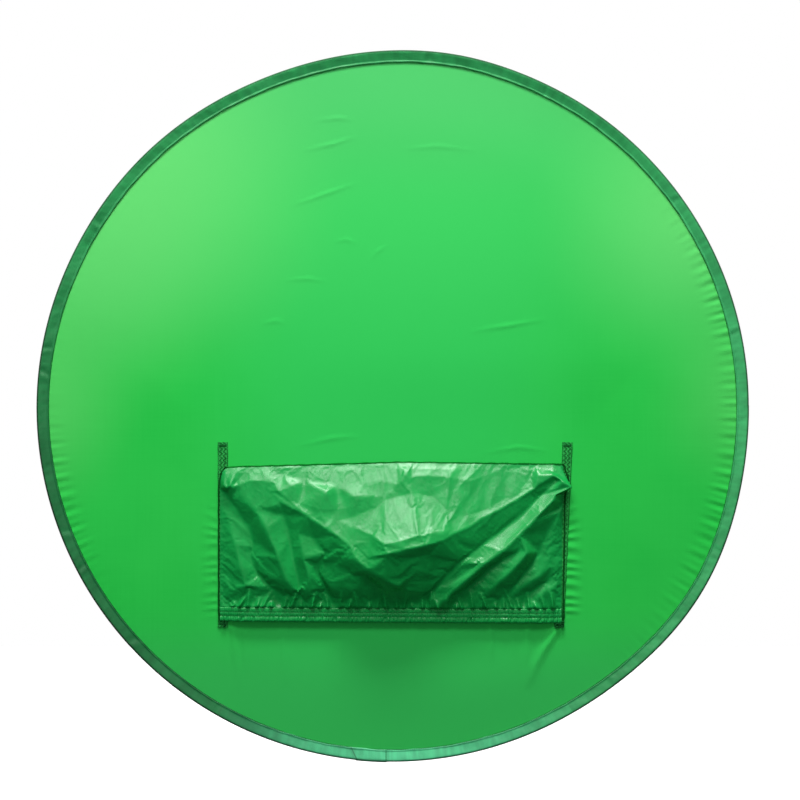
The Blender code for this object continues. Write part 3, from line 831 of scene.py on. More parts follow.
# Ridges and valleys that run from the right corner down to the hem
RIGHT_FOLDS = [
    [(0.315, -0.030, 0.010), (0.297, -0.057, 0.014), (0.258, -0.099, 0.020), (0.218, -0.128, 0.025),
     (0.178, -0.154, 0.031), (0.134, -0.188, 0.035), (0.100, -0.223, 0.026), (0.074, -0.256, 0.015)],
    [(0.341, -0.043, 0.018), (0.320, -0.070, 0.026), (0.280, -0.109, 0.035), (0.252, -0.136, 0.039),
     (0.213, -0.169, 0.041), (0.180, -0.194, 0.041), (0.142, -0.231, 0.037), (0.109, -0.259, 0.031),
     (0.089, -0.278, 0.028)],
    [(0.255, -0.168, 0.033), (0.219, -0.185, 0.027), (0.183, -0.213, 0.020), (0.144, -0.247, 0.014),
     (0.127, -0.273, 0.012)],
    [(0.266, -0.173, 0.042), (0.236, -0.209, 0.037), (0.203, -0.240, 0.030), (0.167, -0.270, 0.018)],
    [(0.352, -0.055, 0.005), (0.333, -0.094, 0.009), (0.310, -0.130, 0.012), (0.289, -0.175, 0.014),
     (0.268, -0.209, 0.015), (0.243, -0.242, 0.014), (0.215, -0.280, 0.010)],
    [(0.293, -0.220, 0.021), (0.251, -0.247, 0.019), (0.232, -0.273, 0.013)],
    [(0.305, -0.234, 0.009), (0.272, -0.262, 0.008), (0.255, -0.282, 0.008)],
    [(0.329, -0.235, 0.009), (0.296, -0.257, 0.016), (0.277, -0.282, 0.015)],
    [(0.332, -0.089, 0.004), (0.333, -0.184, 0.004), (0.333, -0.268, 0.004)],
    [(0.316, -0.155, 0.012), (0.313, -0.200, 0.011)],
]

# Shallow ones under the big fold
MIDDLE_FOLDS = [
    [(0.069, -0.174, 0.058), (0.065, -0.208, 0.045), (0.061, -0.240, 0.030)],
    [(0.042, -0.179, 0.062), (0.028, -0.220, 0.044), (0.017, -0.245, 0.035)],
    [(-0.011, -0.257, 0.030), (0.003, -0.248, 0.033), (0.031, -0.247, 0.034), (0.059, -0.252, 0.026)],
    [(-0.003, -0.277, 0.013), (0.048, -0.277, 0.012)],
    [(-0.075, -0.181, 0.061), (-0.051, -0.204, 0.064), (-0.015, -0.223, 0.062), (0.016, -0.239, 0.051)],
]

# Ridges and valleys that run from the left corner down to the hem
LEFT_FOLDS = [
    [(-0.332, -0.056, 0.003), (-0.309, -0.089, 0.007), (-0.287, -0.122, 0.009), (-0.277, -0.152, 0.011),
     (-0.281, -0.178, 0.012), (-0.270, -0.212, 0.012), (-0.242, -0.248, 0.011),
     (-0.222, -0.280, 0.008)],
    [(-0.330, -0.100, 0.006), (-0.311, -0.164, 0.016), (-0.300, -0.207, 0.021), (-0.294, -0.239, 0.020),
     (-0.285, -0.279, 0.013)],
    [(-0.336, -0.128, 0.003), (-0.336, -0.212, 0.003), (-0.336, -0.268, 0.003)],
    [(-0.308, -0.052, 0.013), (-0.296, -0.063, 0.017), (-0.271, -0.088, 0.023), (-0.246, -0.132, 0.032),
     (-0.224, -0.182, 0.034), (-0.207, -0.227, 0.030), (-0.191, -0.274, 0.018)],
    [(-0.216, -0.099, 0.022), (-0.205, -0.138, 0.021), (-0.195, -0.183, 0.018), (-0.185, -0.233, 0.014),
     (-0.181, -0.278, 0.012)],
    [(-0.185, -0.137, 0.030), (-0.175, -0.182, 0.033), (-0.165, -0.215, 0.031), (-0.165, -0.246, 0.026),
     (-0.170, -0.276, 0.016)],
    [(-0.157, -0.143, 0.030), (-0.134, -0.171, 0.033), (-0.109, -0.195, 0.038)],
    [(-0.149, -0.202, 0.022), (-0.132, -0.242, 0.014), (-0.113, -0.283, 0.010)],
    [(-0.124, -0.241, 0.026), (-0.081, -0.213, 0.042)],
    [(-0.056, -0.216, 0.048), (-0.070, -0.248, 0.034), (-0.082, -0.280, 0.019)],
    [(-0.040, -0.232, 0.033), (-0.032, -0.261, 0.019), (-0.032, -0.281, 0.012)],
    [(-0.319, -0.063, 0.009), (-0.298, -0.055, 0.016)],
    [(-0.269, -0.079, 0.022), (-0.226, -0.079, 0.028)],
]

# Where the pleats above the elastic stand
HEM_FOLD_X = [
    -0.320, -0.306, -0.288, -0.270, -0.259, -0.241, -0.216, -0.203, -0.181, -0.160, -0.146, -0.128,
    -0.104, -0.088, -0.069, -0.046, -0.031, -0.012, 0.008, 0.022, 0.041, 0.060, 0.074, 0.092, 0.108,
    0.127, 0.139, 0.160, 0.176, 0.188, 0.207, 0.222, 0.240, 0.253, 0.272, 0.289, 0.303, 0.320,
]


def seam_height(x):
    """The pocket's top seam, which bows up a little towards its middle."""
    places = [-0.345, -0.336, -0.320, 0.016, 0.338, 0.345]
    return np.interp(x, places, [-0.012, -0.007, -0.0055, 0.004, 0.0, -0.002])


def pocket_left(z):
    """The pocket's left edge, cut round at its top corner."""
    return np.interp(z, [-0.034, -0.014, -0.006], [POCKET_LEFT, POCKET_LEFT + 0.0045, POCKET_LEFT + 0.0095])


def pocket_right(z):
    return POCKET_RIGHT_TOP + (POCKET_RIGHT_FOOT - POCKET_RIGHT_TOP) * np.clip(z / HEM_TOP, 0.0, 1.0)


def hem_depth(x):
    """How far the hem stands off the panel along its length."""
    inward = np.minimum(x - POCKET_LEFT, POCKET_RIGHT_FOOT - x)
    return SEAM_DEPTH + (HEM_DEPTH - SEAM_DEPTH) * smooth(inward, -0.002, 0.045)


def hem_fullness(x):
    """0 at the hem's sewn ends, 1 over its middle."""
    return smooth(np.minimum(x - POCKET_LEFT, POCKET_RIGHT_FOOT - x), 0.004, 0.060)


def pocket_border():
    """The pocket's sewn edges and its hem as lines of (x, z, depth) points."""
    top = np.linspace(POCKET_LEFT, POCKET_RIGHT_TOP, 40)
    hem = np.linspace(POCKET_LEFT, POCKET_RIGHT_FOOT, 40)
    side = np.linspace(0.0, 1.0, 16)
    left_z = seam_height(POCKET_LEFT) + side * (HEM_TOP - seam_height(POCKET_LEFT))
    right_z = seam_height(POCKET_RIGHT_TOP) + side * (HEM_TOP - seam_height(POCKET_RIGHT_TOP))
    return [
        np.stack([top, seam_height(top), np.full(40, SEAM_DEPTH)], axis=1),
        np.stack([hem, np.full(40, HEM_TOP), hem_depth(hem) + 0.002 * hem_fullness(hem)], axis=1),
        np.stack([pocket_left(left_z), left_z, np.full(16, SEAM_DEPTH)], axis=1),
        np.stack([pocket_right(right_z), right_z, np.full(16, SEAM_DEPTH)], axis=1),
    ]


def facets(lines):
    """Triangles between crease lines, with the lines kept as edges: corners and index triples."""
    points, edges = [], []
    for line in lines:
        start = len(points)
        points.extend(tuple(point) for point in line)
        edges.extend((k, k + 1) for k in range(start, start + len(line) - 1))
    flat = [Vector(point[:2]) for point in points]
    verts, _, faces, origins, _, _ = delaunay_2d_cdt(flat, edges, [], 0, 1e-5)
    corners = np.array([tuple(vert) for vert in verts])
    depth = nearest_depth(corners, lines)
    for index, origin in enumerate(origins):
        if origin:
            depth[index] = points[origin[0]][2]
    return corners, depth, faces


def nearest_depth(corners, lines):
    best = np.full(len(corners), np.inf)
    depth = np.zeros(len(corners))
    for line in lines:
        away, (value,) = nearest_on_path(corners[:, 0], corners[:, 1], line)
        depth = np.where(away < best, value, depth)
        best = np.minimum(best, away)
    return depth


def over_facets(x, z, corners, depth, faces):
    """The height at each grid point of the triangle it falls in."""
    total = np.full(x.shape, SEAM_DEPTH)
    for first, second, third in faces:
        a, b, c = corners[first], corners[second], corners[third]
        area = (b[0] - a[0]) * (c[1] - a[1]) - (b[1] - a[1]) * (c[0] - a[0])
        if abs(area) < 1e-10:
            continue
        low, high = np.minimum(np.minimum(a, b), c), np.maximum(np.maximum(a, b), c)
        near = (x >= low[0]) & (x <= high[0]) & (z >= low[1]) & (z <= high[1])
        to_x, to_z = x[near] - a[0], z[near] - a[1]
        near_b = (to_x * (c[1] - a[1]) - to_z * (c[0] - a[0])) / area
        near_c = ((b[0] - a[0]) * to_z - (b[1] - a[1]) * to_x) / area
        inside = (near_b >= -1e-4) & (near_c >= -1e-4) & (near_b + near_c <= 1.0001)
        height = depth[first] * (1 - near_b - near_c) + depth[second] * near_b + depth[third] * near_c
        total[near] = np.where(inside, height, total[near])
    return total


def blurred(grid, sigma):
    """A grid smoothed along both its ways, with its border kept."""
    reach = int(3 * sigma) + 1
    weights = np.exp(-0.5 * (np.arange(-reach, reach + 1) / sigma) ** 2)
    weights /= weights.sum()
    result = grid
    for axis in (0, 1):
        edge = [(reach, reach) if axis == k else (0, 0) for k in (0, 1)]
        padded = np.pad(result, edge, mode="reflect", reflect_type="odd")
        result = sum(
            weight * np.take(padded, np.arange(shift, shift + grid.shape[axis]), axis=axis)
            for shift, weight in enumerate(weights)
        )
    return result


def ridged(x, z, size, seed, stretch=1.0):
    """Noise whose zero lines stand up as sharp ridges, from 0 to 1."""
    return 1.0 - np.minimum(np.abs(clouds(x, z, size, seed, stretch)) * 2.2, 1.0)


def crumples(x, z):
    """Creases pressed into the cloth: sharp on the lit face, finer near the corners and hem."""
    inward = np.minimum(np.minimum(x - POCKET_LEFT, pocket_right(z) - x), seam_height(x) - z)
    held = smooth(inward, 0.0, 0.015) * smooth(z - HEM_TOP, 0.0, 0.010)
    corner = bump_at(np.hypot(x - 0.29, z + 0.03), 0.0, 0.06)
    corner = corner + bump_at(np.hypot(x + 0.30, z + 0.035), 0.0, 0.05)
    lit = smooth(z, -0.19, -0.09)
    large = ridged(x + 0.3 * z, z, 0.085, 2.0) - 0.5
    medium = ridged(x - 0.4 * z, z, 0.038, 7.0) - 0.5
    small = ridged(x, z, 0.016, 4.0) - 0.5
    return held * (
        (0.0007 * lit + 0.0006) * large + (0.0003 * lit + 0.0002) * medium + 0.0003 * corner * small
    )


def hem_gathers(x, z):
    """Tight pleats that rise from the elastic and die out into the cloth."""
    rise = z - HEM_TOP
    total = np.zeros(x.shape)
    for index, place in enumerate(HEM_FOLD_X):
        tall = 0.016 + 0.030 * ((index * 7) % 5) / 4
        lean = 0.25 * math.sin(index * 2.1) - 1.1 * place
        away = np.abs(x - place - lean * rise)
        strength = smooth(rise, -0.003, 0.004) * (1.0 - smooth(rise, 0.004, tall))
        total += (0.0060 + 0.0034 * ((index * 3) % 4) / 3) * strength * crest(away, 0.0080, 0.0008)
    between = smooth(rise, 0.0, 0.012) * (1.0 - smooth(rise, 0.012, 0.045))
    return total - 0.0022 * between * hem_fullness(x)


def crispness(x, z):
    """1 where the cloth is creased sharply: along the big fold and on the lit face's middle."""
    edges = np.full(x.shape, np.inf)
    for line in SAGGING_FOLD:
        edges = np.minimum(edges, nearest_on_path(x, z, line)[0])
    face = smooth(x, -0.07, 0.0) * (1.0 - smooth(x, 0.16, 0.24)) * smooth(z, -0.20, -0.16)
    corner = 1.0 - smooth(np.hypot(x - 0.33, z + 0.03), 0.06, 0.11)
    return np.maximum(np.maximum(face, corner), 1.0 - smooth(edges, 0.004, 0.022))


def pocket_surface(columns, rows):
    """Arrays of x, depth and z over the whole pocket, row by row from its top."""
    down, across = np.meshgrid(np.linspace(0.0, 1.0, rows), np.linspace(0.0, 1.0, columns), indexing="ij")
    rough_x = POCKET_LEFT + across * (POCKET_RIGHT_TOP - POCKET_LEFT)
    top = seam_height(rough_x)
    z = top + down * (HEM_TOP - top)
    x = pocket_left(z) + across * (pocket_right(z) - pocket_left(z))
    lines = pocket_border() + UPPER_FACE + SAGGING_FOLD + RIGHT_FOLDS + MIDDLE_FOLDS + LEFT_FOLDS
    faceted = over_facets(x, z, *facets(lines))
    crisp = crispness(x, z)
    depth = crisp * blurred(faceted, CREASE_SOFTNESS) + (1.0 - crisp) * blurred(faceted, BILLOW_SOFTNESS)
    below = seam_height(x) - z
    eased = 0.50 + 0.50 * smooth(below, -0.002, 0.013)
    roll = np.maximum(clouds(x, 0.0 * x, 0.060, 21.0) + 0.15, 0.0) * bump_at(below, 0.0055, 0.0042)
    depth = SEAM_DEPTH + (depth - SEAM_DEPTH) * eased + 0.0026 * roll * smooth(below, 0.0, 0.004)
    depth = depth + hem_gathers(x, z) + crumples(x, z)
    hem = hem_depth(x)
    free = smooth(z - HEM_TOP, -0.004, 0.008) * (1.0 - smooth(down, 0.984, 1.0))
    depth = hem + (depth - hem) * free
    into_casing = hem_centre(x) + (HEM_TOP - HEM_FOOT) / 2 - CASING_OVERLAP - HEM_TOP
    z = z + into_casing * smooth(down, 0.93, 1.0)
    lobe = np.interp(z, (-0.060, -0.050, -0.046, -0.003), (0.0, 0.75, 1.0, 0.0))
    over = lobe * smooth(x, 0.285, 0.328) * (1.0 - smooth(x, 0.3325, 0.3395))
    return x + LOBE_REACH * over, depth + 0.005 * over, z, across, down


def make_pocket(material):
    columns, rows = POCKET_COLUMNS, POCKET_ROWS
    x, depth, z, across, down = pocket_surface(columns, rows)
    points = np.stack([x, -depth, z], axis=-1)
    points = settle(points)
    flat_width, flat_height = POCKET_FLAT
    uv = np.stack([across * flat_width, -down * flat_height], axis=-1)
    whole = mesh_object("pocket_whole", points.reshape(-1, 3), grid_faces(rows, columns), None, None)
    normals = np.empty(rows * columns * 3, dtype=np.float32)
    whole.data.vertex_normals.foreach_get("vector", normals)
    normals = normals.reshape(rows, columns, 3)
    bpy.data.objects.remove(whole, do_unlink=True)
    middle = columns // 2
    for side, (first, last) in {"left": (0, middle + 1), "right": (middle, columns)}.items():
        part = (slice(None), slice(first, last))
        count = last - first
        piece = mesh_object(
            "pocket_cloth_" + side, points[part].reshape(-1, 3), grid_faces(rows, count),
            uv[part].reshape(-1, 2), material,
        )
        piece.data.normals_split_custom_set_from_vertices(normals[part].reshape(-1, 3))
        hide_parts("pocket_cloth")
        ride_pocket(piece)
        seams = ["seam_" + side, "seam_stitches_" + side]
        if side == "left":
            seams += ["seam_top", "seam_stitches_top"]


def ride_pocket(piece):
    """Bakes the piece's place into its mesh."""
    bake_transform(piece)


def settle(points):
    """Lets the cloth buckle and sag a little between its sewn edges, by a short cloth simulation.

    It runs on every fourth point. What it moves is then added to all of them.
    """
    coarse = points[::SETTLING_STRIDE, ::SETTLING_STRIDE]
    rows, columns = coarse.shape[:2]
    item = mesh_object("settling", coarse.reshape(-1, 3), grid_faces(rows, columns))
    row, column = np.divmod(np.arange(rows * columns), columns)
    sewn = (row == 0) | (row == rows - 1) | (column == 0) | (column == columns - 1)
    item.vertex_groups.new(name="sewn").add(np.flatnonzero(sewn).tolist(), 1.0, "REPLACE")
    full = item.vertex_groups.new(name="gathered")
    for level in range(rows):
        members = (level * columns + np.arange(columns)).tolist()
        full.add(members, float(smooth(level / (rows - 1), 0.45, 1.0)), "REPLACE")
    cloth = item.modifiers.new("cloth", "CLOTH")
    rules = cloth.settings
    rules.quality = 5
    rules.vertex_group_mass = "sewn"
    rules.vertex_group_shrink = "gathered"
    rules.shrink_min, rules.shrink_max = SLACK_TOP, SLACK_HEM
    rules.mass = 0.02
    rules.air_damping = 5.0
    rules.tension_stiffness = rules.compression_stiffness = 25.0
    rules.shear_stiffness = 8.0
    rules.bending_stiffness = 0.25
    rules.effector_weights.gravity = 0.25
    cloth.collision_settings.use_collision = False
    for step in range(1, SETTLING_STEPS + 1):
        bpy.context.scene.frame_set(step)
    shape = item.evaluated_get(bpy.context.evaluated_depsgraph_get()).to_mesh()
    moved = np.empty(len(shape.vertices) * 3, dtype=np.float32)
    shape.vertices.foreach_get("co", moved)
    moved = moved.reshape(coarse.shape).astype(float) - coarse
    bpy.data.objects.remove(item, do_unlink=True)
    bpy.context.scene.frame_set(1)
    length = np.linalg.norm(moved, axis=2, keepdims=True)
    moved *= np.minimum(1.0, SETTLING_CAP / np.maximum(length, 1e-9))
    for axis in (0, 1, 0, 1):
        moved = doubled(moved, axis)
    pressed = smooth(points[:, :, 2:], -0.19, -0.11)
    settled = points + moved * (0.85 - 0.45 * pressed)
    settled[1:-1, 1:-1, 1] = np.minimum(settled[1:-1, 1:-1, 1], -0.0016)
    return settled


def doubled(grid, axis):
    """Adds a point between each two along one axis of a grid, on a smooth curve through them."""
    grid = np.moveaxis(grid, axis, 0)
    ends = np.concatenate([2 * grid[:1] - grid[1:2], grid, 2 * grid[-1:] - grid[-2:-1]])
    between = (9 * (ends[1:-2] + ends[2:-1]) - ends[:-3] - ends[3:]) / 16
    result = np.empty((2 * len(grid) - 1, *grid.shape[1:]))
    result[::2], result[1::2] = grid, between
    return np.moveaxis(result, 0, axis)


# ---------------------------------------------------------------- hem, seams and tapes


# The casing's section: (height, depth, how much it is ruched) as shares, round once
HEM_SECTION = np.array([
    (1.00, 0.10, 0.2), (0.985, 0.36, 0.5), (0.94, 0.46, 0.8), (0.86, 0.56, 0.8), (0.79, 0.58, 0.6),
    (0.73, 0.48, 0.1), (0.69, 0.46, 0.1), (0.65, 0.62, 0.4), (0.59, 0.72, 0.7), (0.53, 0.72, 0.7),
    (0.47, 0.60, 0.4), (0.43, 0.46, 0.1), (0.39, 0.48, 0.1), (0.35, 0.66, 0.8), (0.28, 0.86, 1.4),
    (0.20, 0.98, 1.7), (0.12, 0.98, 1.7), (0.06, 0.80, 1.2), (0.01, 0.35, 0.6), (0.00, -0.10, 0.3),
    (0.04, -0.80, 0.0), (0.30, -1.00, 0.0), (0.60, -1.00, 0.0), (0.90, -0.80, 0.0), (1.00, -0.40, 0.0),
])
# The curled ends of the elastic: (x, z, half width, half height)
ELASTIC_CURLS = {
    "left": [(-0.3350, -0.3165, 0.0042, 0.0064)],
    "right": [(0.3285, -0.3215, 0.0050, 0.0050), (0.3385, -0.3190, 0.0034, 0.0060)],
}
HEM_STITCH_ROWS = (0.72, 0.42)
HEM_THICK = 0.0021
HEM_FULLNESS = 1.25


def hem_centre(x):
    """Middle height of the hem at x: it dips a little to the right."""
    return (HEM_TOP + HEM_FOOT) / 2 + 0.001 - 0.004 * (x + 0.34) / 0.68


def ruching(x, share):
    """Irregular slanting puffs along the casing, with finer ribs between its stitches."""
    lean = (1.0 - share) * 1.9
    wander = clouds(x, 0.0 * x, 0.022, 3.0) * 6.0 + clouds(x, share * 0.004, 0.008, 8.0) * 1.5
    puffs = np.abs(np.sin(x * math.pi / 0.0105 + wander + lean)) ** 0.7
    ribs = np.abs(np.sin(x * math.pi / 0.0046 + 0.6 * wander + 0.6 * lean))
    full = np.maximum(clouds(x, 0.0 * x, 0.024, 12.0) + 0.10, 0.0)
    fine = clouds(x, share * 0.010, 0.0030, 6.0)
    return (puffs - 0.65) * (0.50 + 2.6 * full) + 0.28 * (ribs - 0.6) + 0.20 * fine


def make_hem(cloth, elastic, sewing):
    half_tall = (HEM_TOP - HEM_FOOT) / 2
    for side, (first, last) in {"left": (POCKET_LEFT, 0.0), "right": (0.0, POCKET_RIGHT_FOOT)}.items():
        along = np.linspace(first, last, int(abs(last - first) / 0.0009))
        x = np.repeat(along[:, None], len(HEM_SECTION), axis=1)
        share, out, ruched = (np.broadcast_to(HEM_SECTION[:, k][None, :], x.shape) for k in range(3))
        puff = ruching(x, share)
        depth = hem_depth(x) + HEM_THICK * (out + 0.75 * ruched * puff)
        edge = 0.0011 * clouds(x, 0.0 * x, 0.0055, 5.0) + 0.0004 * puff
        z = hem_centre(x) + (2 * share - 1) * half_tall + np.where(share < 0.3, edge, 0.3 * edge)
        piece = sheet_object("hem_" + side, x, depth, z, x * HEM_FULLNESS, z, cloth)
        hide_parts("hem_casing")
        ride_pocket(piece)
        corners = np.array([(0.75, 0.28), (0.75, -0.28), (0.25, -0.28), (0.25, 0.28)])
        share, out = corners[:, 0][None, :], corners[:, 1][None, :]
        x = np.repeat(along[::4][:, None], 4, axis=1)
        z = hem_centre(x) + (2 * share - 1) * half_tall
        depth = hem_depth(x) - 0.0006 + 0.0021 * out
        band = sheet_object("elastic_" + side, x, depth, z, x, z, elastic, True)
        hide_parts("hem_elastic")
        ride_pocket(band)
        rows = []
        for level in HEM_STITCH_ROWS:
            rise = (2 * level - 1) * half_tall
            y = -(hem_depth(along) + HEM_THICK * 0.50)
            path = np.stack([along, y, hem_centre(along) + rise], axis=1)
            rows.append(stitches(path, 0.0040, 0.0028, 0.00055, (0.0, -1.0, 0.0), 0.0004))
        ride_pocket(sewn_piece("hem_stitches_" + side, joined(rows), sewing))


def make_elastic_ends(material):
    """The elastic's cut ends, which curl out of the casing beside the tapes."""
    for side, places in ELASTIC_CURLS.items():
        shapes = []
        for x, z, wide, tall in places:
            turn = np.linspace(0.3, 0.3 + 2.2 * math.pi, 26)
            shrink = np.linspace(1.0, 0.62, 26)
            path = np.stack([
                x + wide * shrink * np.cos(turn), np.linspace(-0.0036, -0.0052, 26),
                z + tall * shrink * np.sin(turn),
            ], axis=1)
            shapes.append(tube(path, 0.0012, 6, flat=1.6))
        points, faces = joined(shapes)
        uv = np.stack([points[:, 0], points[:, 2]], axis=1)
        piece = mesh_object("elastic_end_curl_" + side, points, faces, uv, material)
        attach(piece, "screen")


def strip_surface(top, bottom, width, near, thick, rows=120, wobble=0.0003, seed=1.0):
    """A flat tape's skin, from top to bottom, as x, depth, z and its own lengths."""
    section = np.array([
        (-1.0, 0.15), (-0.97, 0.75), (-0.88, 1.0), (-0.5, 1.02), (0.0, 1.0), (0.5, 1.02), (0.88, 1.0),
        (0.97, 0.75), (1.0, 0.15), (0.97, 0.0), (0.0, 0.0), (-0.97, 0.0),
    ])
    share = np.linspace(0.0, 1.0, rows)[:, None]
    across = section[:, 0][None, :]
    top, bottom = np.asarray(top, float), np.asarray(bottom, float)
    line = top[None, :] + share * (bottom - top)[None, :]
    wave = wobble * np.sin(share * 37.0 + seed) + 0.5 * wobble * np.sin(share * 91.0 + 2 * seed)
    x = line[:, :1] + across * width / 2 + wave
    z = line[:, 1:] + 0.0 * across
    lift = 0.3 * wobble * np.sin(share * 53.0 + across * 2.0 + seed)
    depth = near + thick * section[:, 1][None, :] + lift * (section[:, 1][None, :] > 0.5)
    return x, depth, z, across * width / 2 + 0.0 * share, z


def zigzag(top, bottom, offset, swing, pitch, near):
    """A zigzag row of thread down a tape, as a path of points."""
    top, bottom = np.asarray(top, float), np.asarray(bottom, float)
    length = float(np.linalg.norm(bottom - top))
    count = int(length / pitch)
    share = np.linspace(0.0, 1.0, count * 2 + 1)
    side = np.where(np.arange(len(share)) % 2, swing, -swing)
    x = top[0] + share * (bottom[0] - top[0]) + offset + side
    z = top[1] + share * (bottom[1] - top[1])
    return np.stack([x, np.full(len(share), -near), z], axis=1)


def thread_path(path, radius):
    """A thread laid over a zigzag, with its turns rounded."""
    path = np.asarray(path, float)
    fine = np.linspace(0, len(path) - 1, (len(path) - 1) * 3 + 1)
    dense = np.stack([np.interp(fine, np.arange(len(path)), path[:, k]) for k in range(3)], axis=1)
    return tube(dense, radius, THREAD_SIDES)


TAPE_WIDTH = 0.0200
TAPE_ENDS = {
    "left": ((-0.338, 0.044), (-0.338, -0.325)),
    "right": ((0.349, 0.044), (0.332, -0.327)),
}


def make_tapes(cloth, sewing):
    """Each tape, with two zigzag rows down its middle and a straight row along each edge."""
    for side, (top, bottom) in TAPE_ENDS.items():
        surface = strip_surface(top, bottom, TAPE_WIDTH, 0.0004, 0.0010, 180, 0.0004, len(side))
        tape = sheet_object("tape_" + side, *surface, cloth, True)
        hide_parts("pocket_tape_" + side)
        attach(tape, "screen")
        rows = [
            thread_path(zigzag(top, bottom, offset, 0.0030, 0.0088, 0.0017), 0.00072)
            for offset in (-0.0038, 0.0038)
        ]
        for offset in (-0.0089, 0.0089):
            path = np.array([(top[0] + offset, -0.0015, top[1]), (bottom[0] + offset, -0.0015, bottom[1])])
            rows.append(stitches(path, 0.0044, 0.0037, 0.00080, (0.0, -1.0, 0.0)))
        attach(sewn_piece("tape_stitches_" + side, joined(rows), sewing), "screen")


def tack(name, node, centre, width, height, sewing):
    """A block of close satin stitches."""
    count = int(width / 0.0007)
    rows = []
    for index in range(count):
        share = index / (count - 1) - 0.5
        x = centre[0] + share * width
        jitter = 0.0003 * math.sin(index * 2.7)
        z = np.linspace(centre[1] - height / 2 + jitter, centre[1] + height / 2 + jitter, 5)
        arch = np.sin(np.linspace(0.0, math.pi, 5))
        path = np.stack([np.full(5, x), -(centre[2] + 0.0005 * arch), z], axis=1)
        rows.append(tube(path, 0.00042, THREAD_SIDES))
    piece = sewn_piece(name, joined(rows), sewing)
    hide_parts(node)
    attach(piece, "screen")


def make_tacks(sewing):
    for side in ("left", "right"):
        for end in ("top", "bottom"):
            node = f"tape_tack_{side}_{end}"
            low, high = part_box(node)
            centre = ((low[0] + high[0]) / 2, (low[2] + high[2]) / 2, 0.0016)
            tack("tack_" + side + "_" + end, node, centre, 0.0140, 0.0040, sewing)
        node = "elastic_tack_" + side
        low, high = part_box(node)
        centre = ((low[0] + high[0]) / 2, (low[2] + high[2]) / 2, 0.0018)
        tack("elastic_end_" + side, node, centre, 0.0140, 0.0150, sewing)


# The side seams, corner first: (x, z) points
SIDE_SEAM_LINES = {
    "left": [(-0.3305, -0.0056), (-0.3345, -0.0072), (-0.3398, -0.0139), (-0.3446, -0.0319),
             (-0.3462, -0.0500), (-0.3462, -0.2900), (-0.3455, -0.3140)],
    "right": [(0.3390, 0.0005), (0.3425, -0.0050), (0.3500, -0.0270), (0.3495, -0.0400),
              (0.3436, -0.0620), (0.3430, -0.0900), (0.3400, -0.3120)],
}


def make_seams(edge, rolled_edge_shade, sewing):
    """The folded edges where the pocket is sewn down, each with its row of stitches. Their cloth is darker
    than the pocket's, as painted shade of the seams.
    """
    x = np.linspace(POCKET_LEFT + 0.0115, POCKET_RIGHT_TOP, 400)
    section = np.array([(-1.0, 0.1), (-0.8, 0.8), (0.0, 1.1), (0.8, 0.8), (1.0, 0.1), (0.0, 0.0)])
    grid_x = np.repeat(x[:, None], len(section), axis=1)
    ripple = 0.0004 * np.sin(x / 0.006 + 2.0 * np.sin(x / 0.031))[:, None]
    z = seam_height(grid_x) - 0.0004 + 0.0022 * section[:, 0][None, :] + ripple
    depth = 0.0017 + 0.0011 * section[:, 1][None, :] + 0.0 * grid_x
    piece = sheet_object("seam_top", grid_x, depth, z, grid_x, z, edge, True)
    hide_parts("pocket_top_seam")
    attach(piece, "screen")
    path = np.stack([x, np.full(len(x), -0.0028), seam_height(x)], axis=1)
    row = stitches(path, 0.0032, 0.0025, 0.00038, (0.0, -1.0, 0.0))
    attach(sewn_piece("seam_stitches_top", row, sewing), "screen")
    for side, line in SIDE_SEAM_LINES.items():
        line = np.array(line)
        step = np.concatenate([[0.0], np.cumsum(np.hypot(*np.diff(line, axis=0).T))])
        along = np.linspace(0.0, step[-1], 260)
        x, z = (np.interp(along, step, line[:, k]) for k in range(2))
        x = x + 0.0003 * np.sin(along / 0.0052 + 1.5 * np.sin(along / 0.024))
        path = np.stack([x, np.full(len(x), -0.0024), z], axis=1)
        points, faces = tube(path, 0.0016, 10, flat=0.7)
        uv = np.stack([points[:, 0], points[:, 2]], axis=1)
        strip = mesh_object("seam_" + side, points, faces, uv, rolled_edge_shade)
        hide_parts("pocket_side_seam_" + side)
        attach(strip, "screen")
        path[:, 1] -= 0.0009
        row = stitches(path, 0.0034, 0.0026, 0.00038, (0.0, -1.0, 0.0))
        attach(sewn_piece("seam_stitches_" + side, row, sewing), "screen")


# ---------------------------------------------------------------- studio


def area_light(name, place, aim, size, power):
    data = bpy.data.lights.new(name, "AREA")
    data.shape = "RECTANGLE"
    data.size, data.size_y = size
    data.energy = power
    item = bpy.data.objects.new(name, data)
    item.location = place
    item.rotation_euler = (Vector(aim) - Vector(place)).to_track_quat("-Z", "Y").to_euler()
    bpy.context.scene.collection.objects.link(item)
    return item


